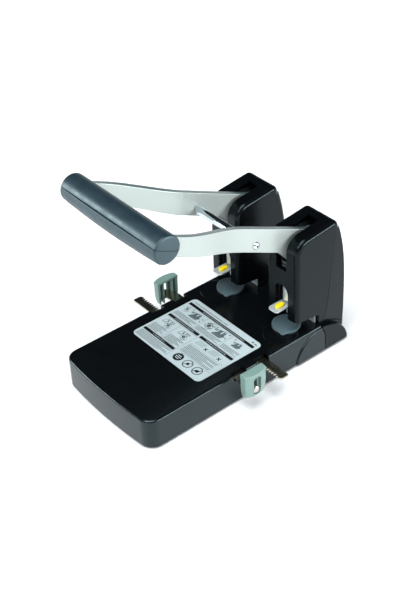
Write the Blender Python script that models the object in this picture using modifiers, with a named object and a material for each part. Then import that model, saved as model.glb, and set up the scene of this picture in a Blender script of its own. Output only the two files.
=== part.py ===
"""Heavy duty two-hole punch with a long frame lever, self-centring paper guides and replaceable punch pins.

Lengths are in millimetres and become metres when a mesh is made. +X is the operator's right, the operator
stands at -Y, +Z is up, and the origin is on the desk under the middle of the punch.
"""
import math

import bmesh
import bpy
from mathutils import Matrix, Vector

UNIT = 0.001
GAP = 0.3

# Driving dimensions
HOLE_HALF_SPACING = 40.0
BASE_HALF_WIDTH = 63.7
BASE_TOP = 33.0
BASE_FRONT = -120.8
BASE_REAR = 118.0
BASE_CORNER = 13.0
BASE_BOW = 3.8
WALL = 2.8
FOOT_HEIGHT = 1.2
PLATE_BOTTOM = FOOT_HEIGHT + GAP
PLATE_TOP = PLATE_BOTTOM + 1.2
SHELL_BOTTOM = PLATE_TOP + GAP

TOWER_HALF_WIDTH = 20.2
TOWER_FRONT = 57.0
TOWER_REAR = 120.8
TOWER_WALL = 2.6
THROAT_REAR = 86.0
THROAT_TOP_FRONT = 47.7
THROAT_TOP_REAR = 44.3
TOWER_TOP_FRONT = 133.6
TOWER_TOP_REAR = 139.9
TOWER_TOP_CORNER = 110.0
SEAM = ((91.6, SHELL_BOTTOM), (90.4, 21.9), (86.3, 31.8))
ARM_SLOT_HALF = 6.7
ARM_SLOT_LIP = 99.4
ARM_SLOT_REAR = 96.4
PIN_SLOT_HALF = 8.8
PIN_SLOT_TOP = 82.6
PIN_SLOT_DEPTH = 76.8

PIVOT_Y = 96.0
PIVOT_Z = 116.7
PIN_Y = 68.0
PIN_TIP = 46.3
PIN_SHOULDER = 60.8
PIN_TOP = 106.7
ARM_THICKNESS = 6.0
ARM_TOP_AT_ZERO = 169.9
ARM_SLOPE = 0.45
BAR_Y = 24.5
BAR_Z = 141.7
GRIP_Y = -86.0
GRIP_Z = 199.3
GRIP_RADIUS = 13.0
GRIP_SWELL = 1.7
GRIP_HALF_LENGTH = 66.0
ARM_SPREAD = 15.6

DISC_Y = 63.6
DISC_RADIUS = 13.7
DISC_TOP = 34.8

PINION_Y = 0.9
PINION_TEETH = 18
TOOTH_PITCH = 3.2114
PITCH_RADIUS = PINION_TEETH * TOOTH_PITCH / (2 * math.pi)
TOOTH_ADDENDUM = 0.9
TOOTH_CLEARANCE = 0.2
RACK_BOTTOM = 27.9
RACK_TOP = 29.5
RACK_END = 91.5
RACK_BACK = 18.2
GUIDE_INNER = 77.0
GUIDE_OUTER = 86.8
GUIDE_TOP = 45.5
GUIDE_BOTTOM = 20.0
GUIDE_HALF_WIDTH = 12.3
GUIDE_OFFSET = 14.2
RIVET_HEIGHT = 26.0
CHANNEL_FLOOR = 83.4


# ---------------------------------------------------------------- helpers

def clear_scene():
    for item in list(bpy.data.objects):
        bpy.data.objects.remove(item, do_unlink=True)


def material(name, colour, roughness, metallic):
    made = bpy.data.materials.new(name)
    made.use_nodes = True
    shader = made.node_tree.nodes["Principled BSDF"]
    shader.inputs["Base Color"].default_value = (*colour, 1.0)
    shader.inputs["Roughness"].default_value = roughness
    shader.inputs["Metallic"].default_value = metallic
    made.diffuse_color = (*colour, 1.0)
    return made


def linked(name, mesh):
    item = bpy.data.objects.new(name, mesh)
    PARTS.objects.link(item)
    return item


def mesh_object(name, shape):
    """Turn a bmesh in millimetres into an object in metres."""
    bmesh.ops.remove_doubles(shape, verts=shape.verts, dist=0.001)
    bmesh.ops.recalc_face_normals(shape, faces=shape.faces)
    bmesh.ops.scale(shape, vec=(UNIT,) * 3, verts=shape.verts)
    mesh = bpy.data.meshes.new(name)
    shape.to_mesh(mesh)
    shape.free()
    return linked(name, mesh)


def edit(item, change):
    """Run change(bmesh) on the object's mesh, in millimetres."""
    shape = bmesh.new()
    shape.from_mesh(item.data)
    bmesh.ops.scale(shape, vec=(1 / UNIT,) * 3, verts=shape.verts)
    change(shape)
    bmesh.ops.scale(shape, vec=(UNIT,) * 3, verts=shape.verts)
    shape.to_mesh(item.data)
    shape.free()


def baked(item):
    """Replace the object's mesh with its evaluated mesh and drop its modifiers."""
    bpy.context.view_layer.update()
    graph = bpy.context.evaluated_depsgraph_get()
    mesh = bpy.data.meshes.new_from_object(item.evaluated_get(graph))
    if item.type == "MESH":
        item.modifiers.clear()
        item.data = mesh
        return item
    name = item.name
    bpy.data.objects.remove(item, do_unlink=True)
    return linked(name, mesh)


def box(name, low, high):
    shape = bmesh.new()
    bmesh.ops.create_cube(shape, size=1.0)
    size = [h - l for l, h in zip(low, high)]
    middle = [(h + l) / 2 for l, h in zip(low, high)]
    bmesh.ops.scale(shape, vec=size, verts=shape.verts)
    bmesh.ops.translate(shape, vec=middle, verts=shape.verts)
    return mesh_object(name, shape)


AXIS_TURNS = {
    "X": Matrix(((0, 0, 1), (1, 0, 0), (0, 1, 0))),
    "Y": Matrix(((1, 0, 0), (0, 0, -1), (0, 1, 0))),
    "Z": Matrix.Identity(3),
}


def cylinder(name, radius, axis, centre, low, high, sides=32, top_radius=None):
    """A cylinder or cone along an axis; centre holds its other two coordinates, in order."""
    shape = bmesh.new()
    end_radius = radius if top_radius is None else top_radius
    bmesh.ops.create_cone(shape, cap_ends=True, segments=sides, radius1=radius, radius2=end_radius,
                          depth=high - low)
    bmesh.ops.translate(shape, vec=(0, 0, (low + high) / 2), verts=shape.verts)
    bmesh.ops.rotate(shape, matrix=AXIS_TURNS[axis], verts=shape.verts)
    if axis == "Y":
        bmesh.ops.scale(shape, vec=(1, -1, 1), verts=shape.verts)
    offset = {"X": (0, *centre), "Y": (centre[0], 0, centre[1]), "Z": (*centre, 0)}[axis]
    bmesh.ops.translate(shape, vec=offset, verts=shape.verts)
    return mesh_object(name, shape)


def outline_solid(name, outline, plane, low, high):
    """Fill a flat outline and give it thickness from low to high across its plane."""
    curve = bpy.data.curves.new(name, "CURVE")
    curve.dimensions = "2D"
    curve.fill_mode = "BOTH"
    curve.extrude = (high - low) / 2 * UNIT
    spline = curve.splines.new("POLY")
    spline.points.add(len(outline) - 1)
    for point, (u, v) in zip(spline.points, outline):
        point.co = (u * UNIT, v * UNIT, 0, 1)
    spline.use_cyclic_u = True
    item = baked(linked(name, curve))
    item.name = name
    shape = bmesh.new()
    shape.from_mesh(item.data)
    bmesh.ops.remove_doubles(shape, verts=shape.verts, dist=0.000001)
    bmesh.ops.dissolve_limit(shape, angle_limit=math.radians(0.1), verts=shape.verts, edges=shape.edges)
    middle = (low + high) / 2 * UNIT
    turn = AXIS_TURNS[{"XY": "Z", "YZ": "X", "XZ": "Y"}[plane]]
    bmesh.ops.rotate(shape, matrix=turn, verts=shape.verts)
    offset = {"XY": (0, 0, middle), "YZ": (middle, 0, 0), "XZ": (0, middle, 0)}[plane]
    bmesh.ops.translate(shape, vec=offset, verts=shape.verts)
    bmesh.ops.recalc_face_normals(shape, faces=shape.faces)
    shape.to_mesh(item.data)
    shape.free()
    return item


def turned(name, profile, sides, centre):
    """Turn a (radius, height) profile, listed from top to bottom, about a vertical axis."""
    shape = bmesh.new()
    points = [shape.verts.new((r, 0, h)) for r, h in profile]
    for first, second in zip(points, points[1:]):
        shape.edges.new((first, second))
    bmesh.ops.scale(shape, vec=(UNIT,) * 3, verts=shape.verts)
    mesh = bpy.data.meshes.new(name)
    shape.to_mesh(mesh)
    shape.free()
    item = linked(name, mesh)
    screw = item.modifiers.new("Turn", "SCREW")
    screw.steps = sides
    screw.render_steps = sides
    screw.use_merge_vertices = True
    screw.merge_threshold = 0.00001
    screw.use_normal_calculate = True
    baked(item)
    edit(item, lambda body: bmesh.ops.recalc_face_normals(body, faces=body.faces))
    edit(item, lambda body: bmesh.ops.translate(body, vec=(*centre, 0), verts=body.verts))
    return item


def lay_along_x(item, centre_y, centre_z):
    """Turn a piece made about +Z so that it lies along +X at the given Y and Z."""
    def lay(body):
        bmesh.ops.rotate(body, matrix=AXIS_TURNS["X"], verts=body.verts)
        bmesh.ops.translate(body, vec=(0, centre_y, centre_z), verts=body.verts)
    edit(item, lay)
    return item


def merge_flat(body):
    """Drop slivers and the edges that only divide a flat face."""
    bmesh.ops.remove_doubles(body, verts=body.verts, dist=0.02)
    bmesh.ops.dissolve_degenerate(body, edges=body.edges, dist=0.01)
    bmesh.ops.dissolve_limit(body, angle_limit=math.radians(0.1), verts=body.verts, edges=body.edges)


def combine(item, tools, operation):
    """Apply exact Booleans of one kind with each tool, then remove the tools."""
    for tool in tools:
        step = item.modifiers.new("Combine", "BOOLEAN")
        step.operation = operation
        step.object = tool
        step.solver = "EXACT"
    baked(item)
    edit(item, merge_flat)
    for tool in tools:
        bpy.data.objects.remove(tool, do_unlink=True)
    return item


def cut(item, *tools):
    return combine(item, tools, "DIFFERENCE")


def join(item, *tools):
    return combine(item, tools, "UNION")


def soften(item, chosen, width, segments, clamp=True):
    """Round the sharp edges whose two ends satisfy chosen(first, second), in millimetres."""
    def bevel(body):
        body.normal_update()
        edges = [e for e in body.edges
                 if e.is_manifold and e.calc_face_angle(0) > math.radians(25)
                 and chosen(e.verts[0].co, e.verts[1].co)]
        bmesh.ops.bevel(body, geom=edges, offset=width, offset_type="OFFSET", segments=segments,
                        profile=0.5, affect="EDGES", clamp_overlap=clamp)
    edit(item, bevel)
    return item


def arc(centre, radius, start, end, steps):
    """Points on an arc, angles in degrees."""
    angles = [math.radians(start + (end - start) * i / steps) for i in range(steps + 1)]
    return [(centre[0] + radius * math.cos(a), centre[1] + radius * math.sin(a)) for a in angles]


def rounded(corners, steps=4):
    """A closed outline from (u, v, radius) corners, each with its own fillet."""
    points = []
    count = len(corners)
    for i, (u, v, radius) in enumerate(corners):
        here = Vector((u, v))
        if radius == 0:
            points.append((u, v))
            continue
        before = Vector(corners[i - 1][:2]) - here
        after = Vector(corners[(i + 1) % count][:2]) - here
        half = before.angle(after) / 2
        reach = radius / math.tan(half)
        centre = here + (before.normalized() + after.normalized()).normalized() * (radius / math.sin(half))
        start = here + before.normalized() * reach - centre
        sweep = start.angle_signed(here + after.normalized() * reach - centre)
        for k in range(steps + 1):
            turned_point = centre + Matrix.Rotation(-sweep * k / steps, 2) @ start
            points.append(tuple(turned_point))
    return points


def mirrored(item, name):
    """A copy of the object reflected in the plane X = 0."""
    copy = linked(name, item.data.copy())

    def flip(body):
        bmesh.ops.scale(body, vec=(-1, 1, 1), verts=body.verts)
        bmesh.ops.reverse_faces(body, faces=body.faces)
    edit(copy, flip)
    return copy


def half_turned(item, name):
    """A copy of the object turned half round the pinion's axis."""
    copy = linked(name, item.data.copy())

    def turn(body):
        half_turn = Matrix.Rotation(math.pi, 3, "Z")
        bmesh.ops.rotate(body, cent=(0, PINION_Y, 0), matrix=half_turn, verts=body.verts)
    edit(copy, turn)
    return copy


def finish(item, look, origin=(0, 0, 0), sharp=30):
    """Give the object its material, smooth shading and an origin on its joint's axis."""
    edit(item, lambda body: bmesh.ops.triangulate(body, faces=body.faces, ngon_method="BEAUTY"))
    edit(item, lambda body: bmesh.ops.translate(body, vec=[-c for c in origin], verts=body.verts))
    item.location = [c * UNIT for c in origin]
    item.data.materials.clear()
    item.data.materials.append(look)
    item.data.shade_smooth()
    item.data.set_sharp_from_angle(angle=math.radians(sharp))
    return item


# ---------------------------------------------------------------- base

def base_outline(inset, rear):
    """The base seen from above: bowed front edge, round front corners and straight sides."""
    half = BASE_HALF_WIDTH - inset
    front = BASE_FRONT + inset
    turn = BASE_HALF_WIDTH - BASE_CORNER
    corner_y = front + BASE_BOW * (turn / BASE_HALF_WIDTH) ** 2 + BASE_CORNER - inset
    radius = BASE_CORNER - inset
    points = [(half, rear)]
    points += arc((turn, corner_y), radius, 0, -90, 6)
    bow_steps = 8
    for i in range(1, bow_steps):
        x = turn - 2 * turn * i / bow_steps
        points.append((x, front + BASE_BOW * (x / BASE_HALF_WIDTH) ** 2))
    points += arc((-turn, corner_y), radius, -90, -180, 6)
    points.append((-half, rear))
    return points


def behind_seam(name, low_x, high_x, gap):
    """The space behind the joint line between the base and a tower's foot."""
    line = [(y - gap, z) for y, z in SEAM]
    outline = [(line[0][0], -10), *line, (line[-1][0], 60), (140, 60), (140, -10)]
    return outline_solid(name, outline, "YZ", low_x, high_x)


def arch_boss(name, side):
    """The round raised pad that crosses the joint line low on each side."""
    inner, outer = (58.0, 65.0) if side > 0 else (-65.0, -58.0)
    boss = cylinder(name, 34.0, "X", (88.0, -3.0), inner, outer, sides=56)
    return soften(boss, lambda a, b: abs(a.x) > 64 and abs(b.x) > 64, 1.2, 2)


def level_off(item):
    """Trim the object flat along the bottom edge of the covers."""
    return cut(item, box("below", (-90, -140, -60), (90, 160, SHELL_BOTTOM)))


def guide_slots():
    """Cutters for the notches that the racks and brackets pass through."""
    cutters = []
    for side in (-1, 1):
        x_low, x_high = sorted((side * 58.0, side * 80.0))
        for near, far in ((-22.4, -7.4), (5.7, 19.7)):
            y_low, y_high = sorted((PINION_Y + side * near, PINION_Y + side * far))
            cutters.append(box("notch", (x_low, y_low, 26.4), (x_high, y_high, 40)))
    return cutters


SCREW_PLACES = ((-50.0, -100.0), (50.0, -100.0), (-50.0, 40.0), (50.0, 40.0))
FOOT_PLACES = ((-50.0, -84.0), (50.0, -84.0), (-44.0, 100.0), (44.0, 100.0))


def make_base_shell(look):
    shell = outline_solid("base_shell", base_outline(0, BASE_REAR), "XY", -5.0, BASE_TOP)
    soften(shell, lambda a, b: min(a.z, b.z) > BASE_TOP - 0.1, 2.2, 3, clamp=False)
    join(shell, arch_boss("boss_right", 1), arch_boss("boss_left", -1))
    cut(shell, behind_seam("foot_right", 19.4, 90, 0.6), behind_seam("foot_left", -90, -19.4, 0.6))
    inner = base_outline(WALL, 81.0)
    tongue = [(inner[-1][0], 81.0), (-16.6, 81.0), (-16.6, 115.0), (16.6, 115.0), (16.6, 81.0)]
    cut(shell, outline_solid("hollow", inner[:-1] + tongue, "XY", -20, BASE_TOP - WALL))
    level_off(shell)
    bosses = [cylinder("seat", 17.0, "Z", (s * HOLE_HALF_SPACING, DISC_Y), 27.0, 31.0, 40) for s in (-1, 1)]
    bosses += [cylinder("post", 4.5, "Z", place, SHELL_BOTTOM, 31.0, 16) for place in SCREW_PLACES]
    join(shell, *bosses)
    cutters = [cylinder("pocket", DISC_RADIUS + 0.4, "Z", (s * HOLE_HALF_SPACING, DISC_Y), 30.1, 40.0, 48)
               for s in (-1, 1)]
    cutters += [cylinder("bore", 1.9, "Z", place, 0, 16.0, 12) for place in SCREW_PLACES]
    cutters.append(outline_solid("label_bed", rounded(label_corners(0.3), 3), "XY", 32.4, 40))
    cut(shell, *cutters, *guide_slots())
    return finish(shell, look)


def label_corners(margin):
    half = 48.7 + margin
    front = -51.0 - margin
    rear = 26.4 + margin
    radius = 5.0
    return [(-half, front, radius), (half, front, radius), (half, rear, radius), (-half, rear, radius)]


def make_label(look):
    label = outline_solid("instruction_label", rounded(label_corners(0), 3), "XY", 32.7, 33.1)
    return finish(label, look)


def make_base_plate(look):
    plate = outline_solid("base_plate", base_outline(1.0, BASE_REAR - 1.0), "XY", PLATE_BOTTOM, PLATE_TOP)
    cut(plate, *[cylinder("bore", 1.9, "Z", place, -5, 10, 12) for place in SCREW_PLACES])
    return finish(plate, look)


def make_feet(look):
    for number, place in enumerate(FOOT_PLACES, 1):
        foot = turned(f"foot_{number}", [(0, FOOT_HEIGHT), (8, FOOT_HEIGHT), (8, 0.4), (7.6, 0), (0, 0)],
                      20, place)
        finish(foot, look)


def make_plate_screws(look):
    profile = [(0, 13.0), (1.2, 13.0), (1.5, 12.4), (1.5, PLATE_BOTTOM - 0.1), (3.4, PLATE_BOTTOM - GAP),
               (3.4, 0.7), (2.8, 0.45), (0, 0.45)]
    for number, place in enumerate(SCREW_PLACES, 1):
        finish(turned(f"plate_screw_{number}", profile, 14, place), look)


def make_discs(look):
    """Cutting discs whose centres stand in front of the pins, so that turning them gives a fresh spot."""
    tab_angle = math.radians(-55)
    for side, word in ((-1, "left"), (1, "right")):
        centre = (side * HOLE_HALF_SPACING, DISC_Y)
        disc = cylinder(f"cutting_disc_{word}", DISC_RADIUS, "Z", centre, 30.4, DISC_TOP, 44)
        tip = Vector((math.cos(tab_angle), math.sin(tab_angle)))
        across = Vector((-tip.y, tip.x))
        middle = Vector(centre)
        corners = [(*(middle + tip * 8 + across * 7.0), 0), (*(middle + tip * 8 - across * 7.0), 0),
                   (*(middle + tip * 13.4 - across * 4.8), 0), (*(middle + tip * 17.4 - across * 0.8), 1.2),
                   (*(middle + tip * 17.4 + across * 0.8), 1.2), (*(middle + tip * 13.4 + across * 4.8), 0)]
        tab = outline_solid("tab", rounded(corners, 2), "XY", BASE_TOP + 0.35, DISC_TOP)
        join(disc, tab)
        soften(disc, lambda a, b: min(a.z, b.z) > DISC_TOP - 0.05, 0.5, 1)
        finish(disc, look, (*centre, 0))


# ---------------------------------------------------------------- paper guides

def tooth_half_width(height):
    """Half the width of a tooth, by height above the pitch line: it narrows towards the tip."""
    return TOOTH_PITCH * (0.205 - 0.105 * height / TOOTH_ADDENDUM)


def rack_outline():
    """The right guide's rack from above: a bar whose inner edge is toothed."""
    root = PINION_Y - PITCH_RADIUS - TOOTH_ADDENDUM - TOOTH_CLEARANCE
    tip = PINION_Y - PITCH_RADIUS + TOOTH_ADDENDUM
    back = PINION_Y - RACK_BACK
    points = [(-RACK_END + 2.5, back), (-RACK_END, back + 2.0), (-RACK_END, root - 2.5),
              (-RACK_END + 2.5, root)]
    first = math.ceil((-RACK_END + 5.0) / TOOTH_PITCH - 0.5)
    last = math.floor(24.0 / TOOTH_PITCH - 0.5)
    wide = tooth_half_width(-TOOTH_ADDENDUM)
    narrow = tooth_half_width(TOOTH_ADDENDUM)
    for number in range(first, last + 1):
        x = (number + 0.5) * TOOTH_PITCH
        points += [(x - wide, root), (x - narrow, tip), (x + narrow, tip), (x + wide, root)]
    points += [(50.0, root), (56.0, PINION_Y - 8.8), (81.9, PINION_Y - 8.8), (81.9, PINION_Y - 21.1),
               (56.0, PINION_Y - 21.1), (50.0, back)]
    return points


def make_racks(look):
    """Each guide's rack, widening to a bracket that turns down inside the guide."""
    rack = outline_solid("rack_right", rack_outline(), "XY", RACK_BOTTOM, RACK_TOP)
    middle = PINION_Y - GUIDE_OFFSET
    flange = box("flange", (80.6, middle - 4.0, 22.0), (82.2, middle + 4.0, RACK_TOP - 0.3))
    trim = [box("trim", (GUIDE_INNER - 0.4, -60, 20), (90, middle - 4.2, 40)),
            box("trim", (GUIDE_INNER - 0.4, middle + 4.2, 20), (90, 60, 40))]
    cut(rack, *trim)
    join(rack, flange)
    left = half_turned(rack, "rack_left")
    finish(rack, look)
    finish(left, look)


def guide_outline(inset):
    """A guide block from above: flat towards the base and bulging outwards."""
    half = GUIDE_HALF_WIDTH - inset
    outer = GUIDE_OUTER - inset
    bulge = 3.0
    middle = PINION_Y - GUIDE_OFFSET
    points = [(GUIDE_INNER, middle - half)]
    steps = 8
    for i in range(steps + 1):
        across = -1 + 2 * i / steps
        points.append((outer - bulge * across ** 2, middle + half * across))
    points.append((GUIDE_INNER, middle + half))
    return points


def taper(body):
    """Draw the lower half of a guide block in, so that it is widest above its middle."""
    plane_z = (GUIDE_TOP + GUIDE_BOTTOM) / 2 + 2
    geometry = [*body.verts, *body.edges, *body.faces]
    bmesh.ops.bisect_plane(body, geom=geometry, plane_co=(0, 0, plane_z), plane_no=(0, 0, 1))
    middle = PINION_Y - GUIDE_OFFSET
    for vert in body.verts:
        if vert.co.z < GUIDE_BOTTOM + 0.1:
            vert.co.y = middle + (vert.co.y - middle) * 0.87
            if vert.co.x > GUIDE_INNER + 1:
                vert.co.x -= 1.0


def upright_slot(name, half, low, high, front, rear):
    """A round-ended slot through a guide block's outer wall."""
    middle = PINION_Y - GUIDE_OFFSET
    outline = [(middle + u, v) for u, v in arc((0, high - half), half, 0, 180, 8)]
    outline += [(middle + u, v) for u, v in arc((0, low + half), half, 180, 360, 8)]
    return outline_solid(name, outline, "YZ", front, rear)


def make_guide_blocks(look):
    middle = PINION_Y - GUIDE_OFFSET
    block = outline_solid("guide_block_right", guide_outline(0), "XY", GUIDE_BOTTOM, GUIDE_TOP)
    edit(block, taper)
    soften(block, lambda a, b: min(a.x, b.x) > GUIDE_INNER + 1 and min(a.z, b.z) > GUIDE_TOP - 0.1, 1.6, 2)
    soften(block, lambda a, b: min(a.x, b.x) > GUIDE_INNER + 1 and max(a.z, b.z) < GUIDE_BOTTOM + 0.1, 1.5, 2)
    top = GUIDE_TOP - 2.2
    cutters = [box("middle", (GUIDE_INNER - 5, middle - 4.9, 0), (CHANNEL_FLOOR - 0.9, middle + 4.9, top))]
    for side in (-1, 1):
        low, high = sorted((middle + side * 6.2, middle + side * 9.4))
        cutters.append(box("side", (GUIDE_INNER - 5, low, 0), (82.0, high, top)))
    cutters.append(upright_slot("channel", 4.2, RIVET_HEIGHT - 4.2, 42.0, CHANNEL_FLOOR, 95))
    cutters.append(upright_slot("slot", 1.9, RIVET_HEIGHT - 1.9, 40.2, 80, 95))
    cut(block, *cutters)
    left = half_turned(block, "guide_block_left")
    finish(block, look)
    finish(left, look)


def make_guide_rivets(look):
    """The stud on each bracket that carries the guide in its slot."""
    head = CHANNEL_FLOOR + GAP
    profile = [(0, head + 1.8), (2.4, head + 1.6), (3.8, head + 0.7), (3.8, head), (1.5, head), (1.5, 82.5),
               (0, 82.5)]
    rivet = turned("guide_rivet_right", profile, 20, (0, 0))
    lay_along_x(rivet, PINION_Y - GUIDE_OFFSET, RIVET_HEIGHT)
    left = half_turned(rivet, "guide_rivet_left")
    finish(rivet, look)
    finish(left, look)


def make_pinion(gear_look, post_look):
    root = PITCH_RADIUS - TOOTH_ADDENDUM - TOOTH_CLEARANCE
    tip = PITCH_RADIUS + TOOTH_ADDENDUM
    outline = []
    for number in range(PINION_TEETH):
        middle = math.radians(-90) + 2 * math.pi * number / PINION_TEETH
        for radius, side in ((root, -1), (tip, -1), (tip, 1), (root, 1)):
            half = tooth_half_width(radius - PITCH_RADIUS)
            angle = middle + side * half / radius
            outline.append((radius * math.cos(angle), PINION_Y + radius * math.sin(angle)))
    gear = outline_solid("pinion", outline, "XY", 27.6, 29.8)
    cut(gear, cylinder("bore", 2.8, "Z", (0, PINION_Y), 20, 40, 20))
    finish(gear, gear_look, (0, PINION_Y, 0))
    profile = [(0, 30.0), (2.5, 30.0), (2.5, 27.3), (5.0, 27.3), (5.0, 24.0), (3.0, 23.0), (3.0, 5.0),
               (7.0, 4.6), (7.0, SHELL_BOTTOM), (0, SHELL_BOTTOM)]
    finish(turned("pinion_post", profile, 24, (0, PINION_Y)), post_look)


# ---------------------------------------------------------------- towers

def rear_wall(z):
    """How far back a tower reaches at height z: bulging low down and leaning in towards the top."""
    if z > 45:
        return TOWER_REAR - 1.51e-5 * (z - 45) ** 3
    return TOWER_REAR - 0.9 * ((45 - z) / 45) ** 2


def top_line(y):
    share = (y - TOWER_FRONT) / (TOWER_TOP_CORNER - TOWER_FRONT)
    return TOWER_TOP_FRONT + (TOWER_TOP_REAR - TOWER_TOP_FRONT) * share


def tower_outline(inset):
    """A tower from the side: a C that reaches over the paper throat, shrunk by inset all round."""
    front = TOWER_FRONT + inset
    corner = TOWER_TOP_CORNER - inset
    bottom = -5.0 - inset
    corners = [(SEAM[0][0] + inset, bottom, 0), (SEAM[1][0] + inset, SEAM[1][1], 0),
               (SEAM[2][0] + inset, SEAM[2][1], 0), (THROAT_REAR + inset, THROAT_TOP_REAR + inset, 0),
               (front, THROAT_TOP_FRONT + inset, 0), (front, top_line(front) - inset, 15 - inset),
               (corner, top_line(corner) - inset, 4.0 - inset)]
    outline = rounded(corners, 5)
    levels = (128, 116, 103, 88, 68, 45, 24)
    outline += [(rear_wall(z) - inset, z) for z in levels]
    outline.append((rear_wall(SHELL_BOTTOM) - inset, bottom))
    return outline


def pin_slot(name):
    """The round-topped opening in a tower's front that shows the punch pin."""
    spring_line = PIN_SLOT_TOP - PIN_SLOT_HALF
    outline = [(-PIN_SLOT_HALF, 30.0)]
    outline += arc((0, spring_line), PIN_SLOT_HALF, 180, 0, 10)
    outline.append((PIN_SLOT_HALF, 30.0))
    outline = [(HOLE_HALF_SPACING + x, z) for x, z in outline]
    return outline_solid(name, outline, "XZ", 40, PIN_SLOT_DEPTH)


def make_tower_covers(look):
    middle = HOLE_HALF_SPACING
    low, high = middle - TOWER_HALF_WIDTH, middle + TOWER_HALF_WIDTH
    cover = outline_solid("tower_cover_right", tower_outline(0), "YZ", low, high)

    def outer_edge(a, b):
        flat = abs(a.x - b.x) < 0.01
        return flat and (max(a.y, b.y) < TOWER_FRONT + 0.5 or min(a.z, b.z) > 110 or min(a.y, b.y) > 108)
    soften(cover, outer_edge, 3.5, 3, clamp=False)
    reach = outline_solid("reach", tower_outline(0.4), "YZ", 50, 70)
    boss = combine(arch_boss("boss", 1), [reach], "INTERSECT")
    join(cover, boss)
    hollow = outline_solid("hollow", tower_outline(TOWER_WALL), "YZ", low + TOWER_WALL, high - TOWER_WALL)
    arm_slot = box("arm_slot", (middle - ARM_SLOT_HALF, 40, ARM_SLOT_LIP),
                   (middle + ARM_SLOT_HALF, ARM_SLOT_REAR, 160))
    cut(cover, hollow, arm_slot, pin_slot("pin_slot"))
    level_off(cover)
    left = mirrored(cover, "tower_cover_left")
    finish(cover, look)
    finish(left, look)


def frame_outline():
    return rounded([(95.6, 3.3, 0), (95.6, 24.0, 0), (91.4, 35.0, 4), (90.0, 52.2, 2), (62.0, 53.6, 2),
                    (62.0, 124.0, 8), (70.0, 129.6, 4), (105.0, 131.0, 4), (111.2, 115.0, 6),
                    (115.2, 90.0, 0), (116.8, 55.0, 0), (116.2, 3.3, 0)], 3)


def make_head_frames(look):
    """The steel frame inside a tower: two cheeks, a web, and the block that guides the pin."""
    middle = HOLE_HALF_SPACING
    frame = outline_solid("head_frame_right", frame_outline(), "YZ", middle + 9.0, middle + 11.0)
    other = outline_solid("cheek", frame_outline(), "YZ", middle - 11.0, middle - 9.0)
    web = box("web", (middle - 9.5, 97.0, 5.0), (middle + 9.5, 99.0, 90.0))
    guide = box("guide", (middle - 9.5, 63.0, 83.2), (middle + 9.5, 78.6, 86.4))
    rail = box("rail", (middle - 9.5, 75.6, 54.5), (middle + 9.5, 78.2, 84.0))
    join(frame, other, web, guide, rail)
    cut(frame, cylinder("pin_bore", 6.9, "Z", (middle, PIN_Y), 70, 95, 28),
        cylinder("pivot_bore", 4.3, "X", (PIVOT_Y, PIVOT_Z), middle - 20, middle + 20, 24))
    left = mirrored(frame, "head_frame_left")
    finish(frame, look)
    finish(left, look)


def make_paper_stops(look):
    for side, word in ((-1, "left"), (1, "right")):
        centre = side * HOLE_HALF_SPACING
        stop = box(f"paper_stop_{word}", (centre - 16.5, 84.0, 33.4), (centre + 16.5, 85.2, 43.8))
        finish(stop, look)


def make_pivot_pins(look):
    for side, word in ((-1, "left"), (1, "right")):
        profile = [(0, 13.6), (3.5, 13.6), (4.0, 13.1), (4.0, -13.1), (3.5, -13.6), (0, -13.6)]
        pin = turned(f"pivot_pin_{word}", profile, 24, (0, 0))
        lay_along_x(pin, PIVOT_Y, PIVOT_Z)
        shift = (side * HOLE_HALF_SPACING, 0, 0)
        edit(pin, lambda body: bmesh.ops.translate(body, vec=shift, verts=body.verts))
        finish(pin, look)


def make_punch_pins(look):
    """Hollow cutting tube, thick shank and spring flange, one above each disc."""
    profile = [(0, PIN_TOP), (7.6, PIN_TOP), (8.2, PIN_TOP - 0.6), (8.2, PIN_TOP - 2.4), (6.5, PIN_TOP - 2.4),
               (6.5, PIN_SHOULDER + 1.2), (5.3, PIN_SHOULDER), (3.25, PIN_SHOULDER), (3.25, PIN_TIP),
               (2.7, PIN_TIP), (2.5, PIN_TIP + 1.0), (2.5, 74.0), (0, 75.5)]
    for side, word in ((-1, "left"), (1, "right")):
        pin = turned(f"punch_pin_{word}", profile, 28, (side * HOLE_HALF_SPACING, PIN_Y))
        finish(pin, look, (side * HOLE_HALF_SPACING, PIN_Y, 0))


def make_return_springs(look):
    """A coil spring between the guide block and each pin's flange."""
    wire = 0.7
    bottom = 86.7 + wire
    top = PIN_TOP - 2.4 - GAP - wire
    turns = 4
    per_turn = 14
    for side, word in ((-1, "left"), (1, "right")):
        curve = bpy.data.curves.new(f"return_spring_{word}", "CURVE")
        curve.dimensions = "3D"
        curve.bevel_depth = wire * UNIT
        curve.bevel_resolution = 1
        curve.use_fill_caps = True
        spline = curve.splines.new("POLY")
        count = turns * per_turn
        spline.points.add(count)
        for i, point in enumerate(spline.points):
            angle = 2 * math.pi * i / per_turn
            height = bottom + (top - bottom) * i / count
            x = side * HOLE_HALF_SPACING + 7.6 * math.cos(angle)
            y = PIN_Y + 7.6 * math.sin(angle)
            point.co = (x * UNIT, y * UNIT, height * UNIT, 1)
        spring = baked(linked(f"return_spring_{word}", curve))
        spring.name = f"return_spring_{word}"
        edit(spring, lambda body: bmesh.ops.remove_doubles(body, verts=body.verts, dist=0.001))
        edit(spring, lambda body: bmesh.ops.recalc_face_normals(body, faces=body.faces))
        finish(spring, look)


CLIP_BOTTOM = 57.6
CLIP_TOP = 59.0


def button_outline(centre, grow):
    half = 3.0 + grow
    front, rear = 52.3, 57.5
    return arc((centre, rear), half, 0, 180, 8) + arc((centre, front), half, 180, 360, 8)


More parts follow.
